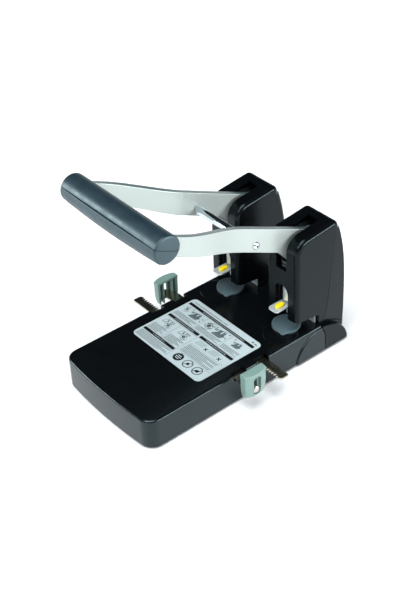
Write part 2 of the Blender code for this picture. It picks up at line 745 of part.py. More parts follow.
def make_release_clips(clip_look, button_look):
    """The forked plate that locks each pin, with the yellow button that frees it."""
    half = 6.1
    tip = 45.5
    corner = 3.4
    for side, word in ((-1, "left"), (1, "right")):
        centre = side * HOLE_HALF_SPACING
        fork = arc((centre, PIN_Y), 3.7, -180, 0, 8)
        outline = [(centre + half, 73.0)]
        outline += arc((centre + half - corner, tip + corner), corner, 0, -90, 4)
        outline += arc((centre - half + corner, tip + corner), corner, -90, -180, 4)
        outline += [(centre - half, 73.0), (centre - 3.7, 73.0), *fork, (centre + 3.7, 73.0)]
        clip = outline_solid(f"release_clip_{word}", outline, "XY", CLIP_BOTTOM, CLIP_TOP)
        cut(clip, outline_solid("window", button_outline(centre, GAP), "XY", 50, 70))
        finish(clip, clip_look, (centre, PIN_Y, 0))
        button = outline_solid(f"release_button_{word}", button_outline(centre, 0), "XY", 58.1, 61.6)
        soften(button, lambda a, b: min(a.z, b.z) > 61.5, 0.9, 2)
        finish(button, button_look, (centre, PIN_Y, 0))


# ---------------------------------------------------------------- lever

def arm_top(y):
    return ARM_TOP_AT_ZERO - ARM_SLOPE * y


def arm_height(y):
    return 24.6 - 0.07 * max(0.0, 5.0 - y)


def arm_middle(y):
    """The arm's X: straight at the tower, then spreading in an S towards the grip."""
    share = min(1.0, max(0.0, (12.0 - y) / 76.0))
    return HOLE_HALF_SPACING + ARM_SPREAD * share * share * (3 - 2 * share)


def make_lever_arms(look):
    """A plate that follows the arm's S bend, with a nose, a pivot eye and the grip's eye."""
    stations = [12.0 - 80.0 * i / 14 for i in range(15)]
    tilt = math.degrees(math.atan(ARM_SLOPE))
    pivot_eye = arc((PIVOT_Y, PIVOT_Z), 9.0, -89, 90 - tilt, 9)
    tail = [(50.7, 121.4), *arc((66.5, 114.0), 7.0, -150, -89, 4), *pivot_eye]
    eye = arc((GRIP_Y, GRIP_Z), 9.0, 90 - tilt, 270 - tilt, 10)
    shape = bmesh.new()

    def vertex(y, z):
        return shape.verts.new((arm_middle(y), y, z))
    top = [vertex(y, arm_top(y)) for y in stations]
    bottom = [vertex(y, arm_top(y) - arm_height(y)) for y in stations]
    for i in range(len(stations) - 1):
        shape.faces.new((top[i], top[i + 1], bottom[i + 1], bottom[i]))
    shape.faces.new([top[0], bottom[0], *[vertex(y, z) for y, z in tail]])
    shape.faces.new([bottom[-1], top[-1], *[vertex(y, z) for y, z in eye]])
    arm = mesh_object("lever_arm_right", shape)
    thick = arm.modifiers.new("Thick", "SOLIDIFY")
    thick.thickness = ARM_THICKNESS * UNIT
    thick.offset = 0
    thick.use_even_offset = True
    baked(arm)
    edit(arm, lambda body: bmesh.ops.recalc_face_normals(body, faces=body.faces))
    inner, outer = HOLE_HALF_SPACING - 8.2, HOLE_HALF_SPACING + 8.2
    join(arm, cylinder("boss", 8.4, "X", (PIVOT_Y, PIVOT_Z), inner, outer, 28))
    cut(arm, cylinder("pivot", 4.3, "X", (PIVOT_Y, PIVOT_Z), 0, 90, 24),
        cylinder("eye", 5.3, "X", (GRIP_Y, GRIP_Z), 0, 90, 24),
        cylinder("screw", 2.3, "X", (BAR_Y, BAR_Z), 0, 90, 16))
    left = mirrored(arm, "lever_arm_left")
    finish(arm, look, (0, PIVOT_Y, PIVOT_Z))
    finish(left, look, (0, PIVOT_Y, PIVOT_Z))


def make_cross_bar(bar_look, screw_look):
    reach = HOLE_HALF_SPACING - ARM_THICKNESS / 2 - GAP
    bar = cylinder("cross_bar", 3.9, "X", (BAR_Y, BAR_Z), -reach, reach, 24)
    finish(bar, bar_look, (0, PIVOT_Y, PIVOT_Z))
    face = HOLE_HALF_SPACING + ARM_THICKNESS / 2 + GAP
    profile = [(0, face + 2.0), (1.8, face + 1.8), (3.6, face + 0.8), (3.6, face), (2.0, face),
               (2.0, reach + GAP), (0, reach + GAP)]
    screw = turned("cross_bar_screw_right", profile, 18, (0, 0))
    lay_along_x(screw, BAR_Y, BAR_Z)
    left = mirrored(screw, "cross_bar_screw_left")
    finish(screw, screw_look, (0, PIVOT_Y, PIVOT_Z))
    finish(left, screw_look, (0, PIVOT_Y, PIVOT_Z))


def grip_profile(swell):
    """The grip's outer profile from one end to the other, as (radius, x)."""
    end = GRIP_HALF_LENGTH
    outer = [(0, end), (6.0, end - 0.5), (10.6, end - 1.6), (12.5, end - 3.0), (GRIP_RADIUS, end - 5.0)]
    steps = 6
    for i in range(1, steps):
        x = (end - 5.0) * (1 - 2 * i / steps)
        outer.append((GRIP_RADIUS + swell * math.cos(math.pi * x / (2 * end)), x))
    outer += [(r, -x) for r, x in reversed(outer[:5])]
    return outer


def make_grip(look, core_look):
    """Two half shells that meet on the plane of the arms, and the rod that runs through them."""
    tilt = math.atan(ARM_SLOPE)
    turn = Matrix.Rotation(-tilt, 3, "X")
    for word, sign, swell in (("upper", 1, 0.0), ("lower", -1, GRIP_SWELL)):
        half = turned(f"grip_{word}", grip_profile(swell), 36, (0, 0))
        lay_along_x(half, 0, 0)
        hollow = cylinder("hollow", 10.4, "X", (0, 0), -61.5, 61.5, 32)
        low, high = sorted((-sign * 30.0, sign * GAP / 2))
        away = box("away", (-90, -30, low), (90, 30, high))
        slots = []
        for side in (-1, 1):
            x_low, x_high = sorted((side * 52.0, side * 59.4))
            slots.append(box("arm_way", (x_low, 0, -9.5), (x_high, 30, 9.5)))
        cut(half, hollow, away, *slots)

        def place(body):
            bmesh.ops.rotate(body, matrix=turn, verts=body.verts)
            bmesh.ops.translate(body, vec=(0, GRIP_Y, GRIP_Z), verts=body.verts)
        edit(half, place)
        finish(half, look, (0, PIVOT_Y, PIVOT_Z))
    core = cylinder("grip_core", 5.0, "X", (GRIP_Y, GRIP_Z), -61.0, 61.0, 24)
    finish(core, core_look, (0, PIVOT_Y, PIVOT_Z))


# ---------------------------------------------------------------- whole

clear_scene()
PARTS = bpy.data.collections.new("hole_punch")
bpy.context.scene.collection.children.link(PARTS)

BLACK_PLASTIC = material("black_plastic", (0.018, 0.020, 0.022), 0.38, 0.0)
LABEL_FILM = material("label_film", (0.66, 0.72, 0.73), 0.35, 0.0)
DISC_PLASTIC = material("disc_plastic", (0.22, 0.27, 0.29), 0.45, 0.0)
GUIDE_PLASTIC = material("guide_plastic", (0.30, 0.46, 0.43), 0.42, 0.0)
GRIP_PLASTIC = material("grip_plastic", (0.035, 0.075, 0.105), 0.30, 0.0)
YELLOW_PLASTIC = material("yellow_plastic", (0.90, 0.78, 0.02), 0.35, 0.0)
RUBBER = material("rubber", (0.03, 0.03, 0.03), 0.85, 0.0)
SILVER_PAINT = material("silver_paint", (0.74, 0.77, 0.75), 0.35, 0.6)
NICKEL = material("nickel", (0.60, 0.58, 0.52), 0.22, 1.0)
BRIGHT_STEEL = material("bright_steel", (0.78, 0.79, 0.80), 0.12, 1.0)
DARK_STEEL = material("dark_steel", (0.20, 0.21, 0.22), 0.45, 1.0)
SPRING_STEEL = material("spring_steel", (0.45, 0.46, 0.47), 0.30, 1.0)

make_base_shell(BLACK_PLASTIC)
make_base_plate(DARK_STEEL)
make_feet(RUBBER)
make_plate_screws(NICKEL)
make_label(LABEL_FILM)
make_discs(DISC_PLASTIC)
make_racks(NICKEL)
make_guide_blocks(GUIDE_PLASTIC)
make_guide_rivets(BRIGHT_STEEL)
make_pinion(NICKEL, DARK_STEEL)
make_tower_covers(BLACK_PLASTIC)
make_head_frames(DARK_STEEL)
make_paper_stops(BRIGHT_STEEL)
make_pivot_pins(NICKEL)
make_punch_pins(BRIGHT_STEEL)
make_return_springs(SPRING_STEEL)
make_release_clips(BRIGHT_STEEL, YELLOW_PLASTIC)
make_lever_arms(SILVER_PAINT)
make_cross_bar(BRIGHT_STEEL, BRIGHT_STEEL)
make_grip(GRIP_PLASTIC, DARK_STEEL)
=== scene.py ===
import math

import bmesh
import bpy
from mathutils import Matrix, Vector


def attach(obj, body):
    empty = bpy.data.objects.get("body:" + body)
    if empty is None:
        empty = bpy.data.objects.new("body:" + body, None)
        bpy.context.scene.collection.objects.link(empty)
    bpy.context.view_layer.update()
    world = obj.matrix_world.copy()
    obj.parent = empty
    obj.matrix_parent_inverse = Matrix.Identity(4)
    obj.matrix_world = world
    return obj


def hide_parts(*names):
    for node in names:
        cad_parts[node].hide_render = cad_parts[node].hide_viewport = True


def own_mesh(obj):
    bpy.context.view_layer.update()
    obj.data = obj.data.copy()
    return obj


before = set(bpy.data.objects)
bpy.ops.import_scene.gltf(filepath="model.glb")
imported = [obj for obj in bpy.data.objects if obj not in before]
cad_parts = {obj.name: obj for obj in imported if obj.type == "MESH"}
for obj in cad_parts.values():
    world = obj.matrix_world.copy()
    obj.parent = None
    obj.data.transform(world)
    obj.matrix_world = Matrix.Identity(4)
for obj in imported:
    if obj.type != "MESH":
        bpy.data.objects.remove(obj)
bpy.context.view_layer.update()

# Lengths below are in millimetres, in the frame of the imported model, and become metres in the meshes.
UNIT = 0.001
SIDES = (("left", -1), ("right", 1))

HOLE = 40.0
BASE_HALF = 63.7
BASE_TOP = 33.0
BASE_FRONT = -120.8
BASE_REAR = 118.0
BASE_CORNER = 13.0
BASE_BOW = 3.8
WALL = 2.8
SHELL_BOTTOM = 3.0

TOWER_HALF = 20.2
TOWER_FRONT = 57.0
TOWER_REAR = 120.8
TOWER_WALL = 2.6
THROAT_REAR = 86.0
THROAT_TOP_FRONT = 47.7
THROAT_TOP_REAR = 44.3
TOP_FRONT = 133.6
TOP_REAR = 139.9
TOP_CORNER = 110.0
SEAM = ((91.6, SHELL_BOTTOM), (90.4, 21.9), (86.3, 31.8))

PIVOT = (96.0, 116.7)
PIN_Y = 68.0
DISC_Y = 63.6
BAR = (24.5, 141.7)
GRIP = (-86.0, 199.3)
ARM_SLOPE = 0.45
ARM_THICK = 6.0
PINION_Y = 0.9
PINION_TEETH = 18
TOOTH_PITCH = 3.2114
PITCH_RADIUS = PINION_TEETH * TOOTH_PITCH / (2 * math.pi)
GUIDE_MIDDLE = PINION_Y - 14.2
GUIDE_INNER = 77.0
GUIDE_OUTER = 86.8
GUIDE_TOP = 45.5
GUIDE_BOTTOM = 20.0
RIVET_HEIGHT = 26.0
GUIDE_HALF_WIDTH = 12.3
CHANNEL_FLOOR = 83.4

TOOTH_ADDENDUM = 0.9
TOOTH_DEDENDUM = 1.9
RACK_BOTTOM = 27.9
RACK_TOP = 29.5
RACK_BACK = 18.2

DISC_RADIUS = 13.7
DISC_TAB_ANGLE = -55
POCKET_RADIUS = 14.1
CLIP_BOTTOM = 57.6
CLIP_TOP = 59.0
SPRING_SEAT = 86.7
ARM_TOP_AT_ZERO = 169.9
ARM_SLOT_HALF = 6.7
PIN_SLOT_HALF = 8.8
PIN_SLOT_TOP = 82.6
GRIP_RADIUS = 13.0
GRIP_HALF_LENGTH = 66.0
OUTLINE_BOTTOM = -5.0

FINE_ANGLE = math.radians(0.1)


# ---------------------------------------------------------------- materials

class Nodes:
    """A material's node tree with short calls for the nodes used here."""

    def __init__(self, name):
        self.material = bpy.data.materials.new(name)
        self.material.use_nodes = True
        self.tree = self.material.node_tree
        self.shader = self.tree.nodes["Principled BSDF"]
        self.place = self.tree.nodes.new("ShaderNodeTexCoord").outputs["Object"]

    def link(self, output, socket):
        self.tree.links.new(output, socket)

    def stretched(self, scale):
        mapping = self.tree.nodes.new("ShaderNodeMapping")
        mapping.inputs["Scale"].default_value = scale
        self.link(self.place, mapping.inputs["Vector"])
        return mapping.outputs["Vector"]

    def noise(self, size_mm, detail=2.0, place=None, rough=0.5):
        texture = self.tree.nodes.new("ShaderNodeTexNoise")
        texture.inputs["Scale"].default_value = 1 / (size_mm * UNIT)
        texture.inputs["Detail"].default_value = detail
        texture.inputs["Roughness"].default_value = rough
        self.link(place or self.place, texture.inputs["Vector"])
        return texture.outputs["Fac"]

    def cells(self, size_mm):
        texture = self.tree.nodes.new("ShaderNodeTexVoronoi")
        texture.inputs["Scale"].default_value = 1 / (size_mm * UNIT)
        self.link(self.place, texture.inputs["Vector"])
        return texture.outputs

    def spread(self, value, low, high, from_low=0.3, from_high=0.7):
        ranger = self.tree.nodes.new("ShaderNodeMapRange")
        ranger.inputs["From Min"].default_value = from_low
        ranger.inputs["From Max"].default_value = from_high
        ranger.inputs["To Min"].default_value = low
        ranger.inputs["To Max"].default_value = high
        self.link(value, ranger.inputs["Value"])
        return ranger.outputs["Result"]

    def blend(self, factor, first, second):
        mix = self.tree.nodes.new("ShaderNodeMixRGB")
        for socket, value in zip(mix.inputs, (factor, first, second)):
            if isinstance(value, tuple):
                socket.default_value = (*value, 1.0)
            else:
                self.link(value, socket)
        return mix.outputs["Color"]

    def bump(self, height, strength, depth_mm, below=None):
        node = self.tree.nodes.new("ShaderNodeBump")
        node.inputs["Strength"].default_value = strength
        node.inputs["Distance"].default_value = depth_mm * UNIT
        self.link(height, node.inputs["Height"])
        if below is not None:
            self.link(below, node.inputs["Normal"])
        return node.outputs["Normal"]


def shade(colour, factor):
    return tuple(min(1.0, c * factor) for c in colour)


def moulded(name, colour, roughness, grain_mm=0.35, strength=0.25, spread=0.12, specular=0.5,
            tint=(1.0, 1.0, 1.0)):
    """Moulded plastic: spark-eroded grain, faint flow variation and handled patches."""
    n = Nodes(name)
    flow = n.noise(22.0, 3.0)
    handled = n.noise(9.0, 4.0, rough=0.6)
    n.link(n.blend(n.spread(flow, 0, 1), shade(colour, 1 - spread), shade(colour, 1 + spread)),
           n.shader.inputs["Base Color"])
    n.link(n.spread(handled, roughness * 0.88, roughness * 1.12), n.shader.inputs["Roughness"])
    coarse = n.bump(n.noise(grain_mm, 3.0, rough=0.6), strength, 0.02)
    n.link(n.bump(n.noise(14.0, 1.0), 0.10, 0.03, coarse), n.shader.inputs["Normal"])
    n.shader.inputs["Specular IOR Level"].default_value = specular
    n.shader.inputs["Specular Tint"].default_value = (*tint, 1.0)
    return n.material


def metal(name, colour, roughness, stretch=(1, 1, 1), line_mm=0.25, strength=0.12, tint=None, metallic=1.0):
    """Plated or polished steel with fine lines along one direction and slight tarnish."""
    n = Nodes(name)
    patches = n.noise(7.0, 4.0, rough=0.6)
    lines = n.noise(line_mm, 2.0, n.stretched(stretch))
    n.link(n.blend(n.spread(patches, 0, 1), colour, tint or shade(colour, 0.82)),
           n.shader.inputs["Base Color"])
    n.link(n.spread(lines, roughness * 0.8, roughness * 1.25), n.shader.inputs["Roughness"])
    n.link(n.bump(lines, strength, 0.01), n.shader.inputs["Normal"])
    n.shader.inputs["Metallic"].default_value = metallic
    return n.material


def silver_coat(name, colour, edge_shade_colour):
    """Silver metallic paint with a little orange peel; the plates' cut edges take a darker colour, which is
    painted shade.
    """
    n = Nodes(name)
    flakes = n.cells(0.22)
    tone = n.blend(n.spread(flakes["Color"], 0, 1, 0, 1), shade(colour, 0.93), shade(colour, 1.06))
    split = n.tree.nodes.new("ShaderNodeSeparateXYZ")
    n.link(n.place.node.outputs["Normal"], split.inputs["Vector"])
    across = n.tree.nodes.new("ShaderNodeMath")
    across.operation = "ABSOLUTE"
    n.link(split.outputs["X"], across.inputs[0])
    # Faces whose normals lie across x, the cut edges, take the darker colour: painted shade along the arms'
    # edges.
    edge_shade_mask = n.spread(across.outputs["Value"], 0, 1, 0.35, 0.85)
    n.link(n.blend(edge_shade_mask, edge_shade_colour, tone), n.shader.inputs["Base Color"])
    n.link(n.spread(n.noise(14.0, 3.0), 0.30, 0.40), n.shader.inputs["Roughness"])
    peel = n.bump(n.noise(1.6, 2.0), 0.10, 0.02)
    n.link(n.bump(flakes["Distance"], 0.04, 0.01, peel), n.shader.inputs["Normal"])
    n.shader.inputs["Metallic"].default_value = 0.35
    n.shader.inputs["Coat Weight"].default_value = 0.15
    n.shader.inputs["Coat Roughness"].default_value = 0.2
    return n.material


def film(name, colour):
    """Printed label film: a faint weave of fibres under a thin gloss laminate."""
    n = Nodes(name)
    fibres = n.noise(0.9, 4.0, n.stretched((1, 4, 1)))
    n.link(n.blend(n.spread(fibres, 0, 1), shade(colour, 0.97), shade(colour, 1.03)),
           n.shader.inputs["Base Color"])
    n.link(n.spread(n.noise(12.0, 2.0), 0.30, 0.42), n.shader.inputs["Roughness"])
    n.link(n.bump(n.noise(3.0, 2.0), 0.06, 0.02), n.shader.inputs["Normal"])
    return n.material


COOL = (0.70, 0.92, 1.0)
BLACK = moulded("satin_black", (0.0022, 0.0028, 0.0034), 0.23, 0.6, 0.03, specular=0.44, tint=COOL)
# A darker, less glossy copy of the satin black for the towers: painted shade that makes their sides darker
# than the base.
BLACK_TOWER_SHADED = moulded("satin_black_tower_shaded_copy", (0.0018, 0.0023, 0.0027), 0.22, 0.6, 0.03, specular=0.20,
                      tint=COOL)
SLATE = moulded("slate_disc", (0.082, 0.122, 0.140), 0.34, 0.40, 0.08)
GREEN = moulded("grey_green", (0.180, 0.280, 0.250), 0.34, 0.40, 0.06, 0.08)
GRIP_LOOK = moulded("grip_slate", (0.0065, 0.019, 0.029), 0.45, 0.50, 0.05, 0.10, specular=1.0,
                    tint=(0.72, 0.95, 1.0))
YELLOW = moulded("signal_yellow", (0.93, 0.72, 0.010), 0.33, 0.30, 0.15, 0.05)
RUBBER = moulded("foot_rubber", (0.018, 0.018, 0.018), 0.80, 0.30, 0.45)
FILM = film("label_film", (0.45, 0.53, 0.545))
INK = moulded("label_ink", (0.0035, 0.004, 0.005), 0.42, 0.30, 0.03, specular=0.15)
GREY_INK = moulded("label_grey_ink", (0.105, 0.135, 0.145), 0.42, 0.30, 0.03, specular=0.3)
PALE_INK = moulded("label_pale_ink", (0.60, 0.66, 0.68), 0.40, 0.30, 0.05)
TONE_INK = moulded("label_tone_ink", (0.36, 0.44, 0.45), 0.40, 0.30, 0.05)
# The second colour is painted shade on the arm plates' cut edges.
SILVER = silver_coat("silver_paint", (0.46, 0.503, 0.48), (0.105, 0.145, 0.145))
NICKEL = metal("nickel_plate", (0.60, 0.57, 0.47), 0.20, (1, 1, 1), 2.5, 0.03, (0.46, 0.43, 0.33))
BRIGHT = metal("bright_steel", (0.80, 0.82, 0.84), 0.14, (1, 1, 6), 0.4, 0.06)
BAR_LOOK = metal("chrome_bar", (0.66, 0.72, 0.75), 0.12, (6, 1, 1), 0.4, 0.05)
DARK_STEEL = metal("dark_steel", (0.10, 0.105, 0.11), 0.42, (1, 1, 1), 0.8, 0.20)
SPRING = metal("spring_wire", (0.16, 0.165, 0.17), 0.30, (1, 1, 1), 0.5, 0.10)
PIN_LOOK = metal("punch_pin", (0.78, 0.82, 0.86), 0.32, (1, 1, 8), 0.4, 0.06, metallic=0.75)
RIVET_LOOK = metal("rivet_head", (0.60, 0.565, 0.54), 0.26, (1, 1, 1), 1.2, 0.05, metallic=0.8)
CLIP_LOOK = metal("clip_plate", (0.74, 0.80, 0.81), 0.34, (1, 1, 1), 0.8, 0.05, metallic=0.55)


# ---------------------------------------------------------------- mesh tools

def linked(name, mesh):
    item = bpy.data.objects.new(name, mesh)
    bpy.context.scene.collection.objects.link(item)
    return item


def mesh_object(name, shape):
    bmesh.ops.remove_doubles(shape, verts=shape.verts, dist=0.001)
    bmesh.ops.recalc_face_normals(shape, faces=shape.faces)
    bmesh.ops.scale(shape, vec=(UNIT,) * 3, verts=shape.verts)
    mesh = bpy.data.meshes.new(name)
    shape.to_mesh(mesh)
    shape.free()
    return linked(name, mesh)


def edit(item, change):
    shape = bmesh.new()
    shape.from_mesh(item.data)
    bmesh.ops.scale(shape, vec=(1 / UNIT,) * 3, verts=shape.verts)
    change(shape)
    bmesh.ops.scale(shape, vec=(UNIT,) * 3, verts=shape.verts)
    shape.to_mesh(item.data)
    shape.free()


def baked(item):
    bpy.context.view_layer.update()
    graph = bpy.context.evaluated_depsgraph_get()
    mesh = bpy.data.meshes.new_from_object(item.evaluated_get(graph))
    if item.type == "MESH":
        item.modifiers.clear()
        item.data = mesh
        return item
    name = item.name
    bpy.data.objects.remove(item, do_unlink=True)
    made = linked(name, mesh)
    made.name = name
    return made


def box(name, low, high):
    shape = bmesh.new()
    bmesh.ops.create_cube(shape, size=1.0)
    bmesh.ops.scale(shape, vec=[h - l for l, h in zip(low, high)], verts=shape.verts)
    bmesh.ops.translate(shape, vec=[(h + l) / 2 for l, h in zip(low, high)], verts=shape.verts)
    return mesh_object(name, shape)


AXIS_TURNS = {
    "X": Matrix(((0, 0, 1), (1, 0, 0), (0, 1, 0))),
    "Y": Matrix(((1, 0, 0), (0, 0, -1), (0, 1, 0))),
    "Z": Matrix.Identity(3),
}


def cylinder(name, radius, axis, centre, low, high, sides=64, top_radius=None):
    shape = bmesh.new()
    end_radius = radius if top_radius is None else top_radius
    bmesh.ops.create_cone(shape, cap_ends=True, segments=sides, radius1=radius, radius2=end_radius,
                          depth=high - low)
    bmesh.ops.translate(shape, vec=(0, 0, (low + high) / 2), verts=shape.verts)
    bmesh.ops.rotate(shape, matrix=AXIS_TURNS[axis], verts=shape.verts)
    offset = {"X": (0, *centre), "Y": (centre[0], 0, centre[1]), "Z": (*centre, 0)}[axis]
    bmesh.ops.translate(shape, vec=offset, verts=shape.verts)
    return mesh_object(name, shape)


def outline_solid(name, outline, plane, low, high):
    curve = bpy.data.curves.new(name, "CURVE")
    curve.dimensions = "2D"
    curve.fill_mode = "BOTH"
    curve.extrude = (high - low) / 2 * UNIT
    spline = curve.splines.new("POLY")
    spline.points.add(len(outline) - 1)
    for point, (u, v) in zip(spline.points, outline):
        point.co = (u * UNIT, v * UNIT, 0, 1)
    spline.use_cyclic_u = True
    item = baked(linked(name, curve))
    middle = (low + high) / 2

    def settle(shape):
        bmesh.ops.remove_doubles(shape, verts=shape.verts, dist=0.001)
        bmesh.ops.dissolve_limit(shape, angle_limit=FINE_ANGLE, verts=shape.verts, edges=shape.edges)
        turn = {"XY": "Z", "YZ": "X", "XZ": "Y"}[plane]
        bmesh.ops.rotate(shape, matrix=AXIS_TURNS[turn], verts=shape.verts)
        offset = {"XY": (0, 0, middle), "YZ": (middle, 0, 0), "XZ": (0, middle, 0)}[plane]
        bmesh.ops.translate(shape, vec=offset, verts=shape.verts)
        bmesh.ops.recalc_face_normals(shape, faces=shape.faces)
    edit(item, settle)
    return item


def turned(name, profile, sides, centre):
    """Turn a (radius, height) profile, listed from top to bottom, about a vertical axis."""
    shape = bmesh.new()
    points = [shape.verts.new((r, 0, h)) for r, h in profile]
    for first, second in zip(points, points[1:]):
        shape.edges.new((first, second))
    bmesh.ops.scale(shape, vec=(UNIT,) * 3, verts=shape.verts)
    mesh = bpy.data.meshes.new(name)
    shape.to_mesh(mesh)
    shape.free()
    item = linked(name, mesh)
    screw = item.modifiers.new("Turn", "SCREW")
    screw.steps = sides
    screw.render_steps = sides
    screw.use_merge_vertices = True
    screw.merge_threshold = 0.00001
    baked(item)

    def place(body):
        bmesh.ops.recalc_face_normals(body, faces=body.faces)
        bmesh.ops.translate(body, vec=(*centre, 0), verts=body.verts)
    edit(item, place)
    return item


def lay_along_x(item, centre_y, centre_z):
    def lay(body):
        bmesh.ops.rotate(body, matrix=AXIS_TURNS["X"], verts=body.verts)
        bmesh.ops.translate(body, vec=(0, centre_y, centre_z), verts=body.verts)
    edit(item, lay)
    return item


def merge_flat(body):
    bmesh.ops.remove_doubles(body, verts=body.verts, dist=0.01)
    bmesh.ops.dissolve_degenerate(body, edges=body.edges, dist=0.005)
    bmesh.ops.dissolve_limit(body, angle_limit=FINE_ANGLE, verts=body.verts, edges=body.edges)


def combine(item, tools, operation):
    for tool in tools:
        step = item.modifiers.new("Combine", "BOOLEAN")
        step.operation = operation
        step.object = tool
        step.solver = "EXACT"
    baked(item)
    edit(item, merge_flat)
    for tool in tools:
        bpy.data.objects.remove(tool, do_unlink=True)
    return item


def cut(item, *tools):
    return combine(item, tools, "DIFFERENCE")


def join(item, *tools):
    return combine(item, tools, "UNION")


def soften(item, chosen, width, segments):
    def bevel(body):
        body.normal_update()
        edges = [e for e in body.edges
                 if e.is_manifold and e.calc_face_angle(0) > math.radians(25)
                 and chosen(e.verts[0].co, e.verts[1].co)]
        bmesh.ops.bevel(body, geom=edges, offset=width, offset_type="OFFSET", segments=segments,
                        profile=0.5, affect="EDGES", clamp_overlap=False)
    edit(item, bevel)
    return item


def ease_edges(item, width, segments=2, angle=28):
    """Break every sharp edge by a small radius."""
    step = item.modifiers.new("Ease", "BEVEL")
    step.width = width * UNIT
    step.segments = segments
    step.limit_method = "ANGLE"
    step.angle_limit = math.radians(angle)
    step.use_clamp_overlap = True
    return baked(item)


def arc(centre, radius, start, end, steps):
    angles = [math.radians(start + (end - start) * i / steps) for i in range(steps + 1)]
    return [(centre[0] + radius * math.cos(a), centre[1] + radius * math.sin(a)) for a in angles]


def rounded(corners, steps=8):
    points = []
    count = len(corners)
    for i, (u, v, radius) in enumerate(corners):
        here = Vector((u, v))
        if radius == 0:
            points.append((u, v))
            continue
        before = Vector(corners[i - 1][:2]) - here
        after = Vector(corners[(i + 1) % count][:2]) - here
        half = before.angle(after) / 2
        reach = radius / math.tan(half)
        centre = here + (before.normalized() + after.normalized()).normalized() * (radius / math.sin(half))
        start = here + before.normalized() * reach - centre
        sweep = start.angle_signed(here + after.normalized() * reach - centre)
        for k in range(steps + 1):
            points.append(tuple(centre + Matrix.Rotation(-sweep * k / steps, 2) @ start))
    return points


def mirrored(item, name):
    copy = linked(name, item.data.copy())

    def flip(body):
        bmesh.ops.scale(body, vec=(-1, 1, 1), verts=body.verts)
        bmesh.ops.reverse_faces(body, faces=body.faces)
    edit(copy, flip)
    return copy


def half_turned(item, name):
    copy = linked(name, item.data.copy())

    def turn(body):
        bmesh.ops.rotate(body, cent=(0, PINION_Y, 0), matrix=Matrix.Rotation(math.pi, 3, "Z"),
                         verts=body.verts)
    edit(copy, turn)
    return copy


def dress(item, name, look, body, node=None, sharp=32):
    """Name the piece, give it its material and shading, tie it to its body and hide the node it replaces."""
    item.name = name
    item.data.name = name
    item.data.materials.clear()
    item.data.materials.append(look)
    item.data.shade_smooth()
    item.data.set_sharp_from_angle(angle=math.radians(sharp))
    level = item.modifiers.new("Level", "WEIGHTED_NORMAL")
    level.keep_sharp = True
    level.weight = 90
    baked(item)
    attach(item, body)
    if node:
        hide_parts(node)
    return item


# ---------------------------------------------------------------- base

def base_outline(inset, rear):
    corner_steps, bow_steps = 14, 24
    half = BASE_HALF - inset
    front = BASE_FRONT + inset
    turn = BASE_HALF - BASE_CORNER
    corner_y = front + BASE_BOW * (turn / BASE_HALF) ** 2 + BASE_CORNER - inset
    radius = BASE_CORNER - inset
    points = [(half, rear)] + arc((turn, corner_y), radius, 0, -90, corner_steps)
    for i in range(1, bow_steps):
        x = turn - 2 * turn * i / bow_steps
        points.append((x, front + BASE_BOW * (x / BASE_HALF) ** 2))
    return points + arc((-turn, corner_y), radius, -90, -180, corner_steps) + [(-half, rear)]


def behind_seam(low_x, high_x, gap):
    line = [(y - gap, z) for y, z in SEAM]
    outline = [(line[0][0], -10), *line, (line[-1][0], 60), (140, 60), (140, -10)]
    return outline_solid("seam", outline, "YZ", low_x, high_x)


def arch_boss(side):
    inner, outer = (58.0, 65.0) if side > 0 else (-65.0, -58.0)
    boss = cylinder("arch", 34.0, "X", (88.0, -3.0), inner, outer, 120)
    return soften(boss, lambda a, b: abs(a.x) > 64 and abs(b.x) > 64, 1.3, 4)


def level_off(item):
    return cut(item, box("below", (-90, -140, -60), (90, 160, SHELL_BOTTOM)))


def label_corners(margin):
    return [(-48.7 - margin, -51.0 - margin, 5.0), (48.7 + margin, -51.0 - margin, 5.0),
            (48.7 + margin, 26.4 + margin, 5.0), (-48.7 - margin, 26.4 + margin, 5.0)]


def make_base():
    shell = outline_solid("base", base_outline(0, BASE_REAR), "XY", OUTLINE_BOTTOM, BASE_TOP)
    soften(shell, lambda a, b: min(a.z, b.z) > BASE_TOP - 0.1, 2.2, 5)
    join(shell, arch_boss(1), arch_boss(-1))
    cut(shell, behind_seam(19.4, 90, 0.6), behind_seam(-90, -19.4, 0.6))
    inner = base_outline(WALL, 81.0)
    tongue = [(inner[-1][0], 81.0), (-16.6, 81.0), (-16.6, 115.0), (16.6, 115.0), (16.6, 81.0)]
    cut(shell, outline_solid("hollow", inner[:-1] + tongue, "XY", -20, BASE_TOP - WALL))
    level_off(shell)
    join(shell, *[cylinder("seat", 17.0, "Z", (s * HOLE, DISC_Y), 27.0, 31.0) for _, s in SIDES])
    tools = []
    for _, side in SIDES:
        tools.append(cylinder("pocket", POCKET_RADIUS, "Z", (side * HOLE, DISC_Y), 30.1, 40.0, 72))
        tools.append(cylinder("dish", 15.6, "Z", (side * 45.6, 50.6), BASE_TOP - 0.7, BASE_TOP + 0.3, 72,
                              top_radius=17.2))
        x_low, x_high = sorted((side * 58.0, side * 80.0))
        for near, far in ((-22.4, -7.4), (5.7, 19.7)):
            y_low, y_high = sorted((PINION_Y + side * near, PINION_Y + side * far))
            tools.append(box("notch", (x_low, y_low, 26.4), (x_high, y_high, 40)))
    tools.append(outline_solid("bed", rounded(label_corners(0.3)), "XY", 32.4, 40))
    cut(shell, *tools)
    ease_edges(shell, 0.35, 2, 40)
    dress(shell, "base_shell_moulding", BLACK, "base", "base_shell")


def make_label():
    label = outline_solid("label", rounded(label_corners(0)), "XY", 32.7, 33.1)
    soften(label, lambda a, b: min(a.z, b.z) > 33.05, 0.12, 2)
    dress(label, "label_sheet", FILM, "base", "instruction_label")


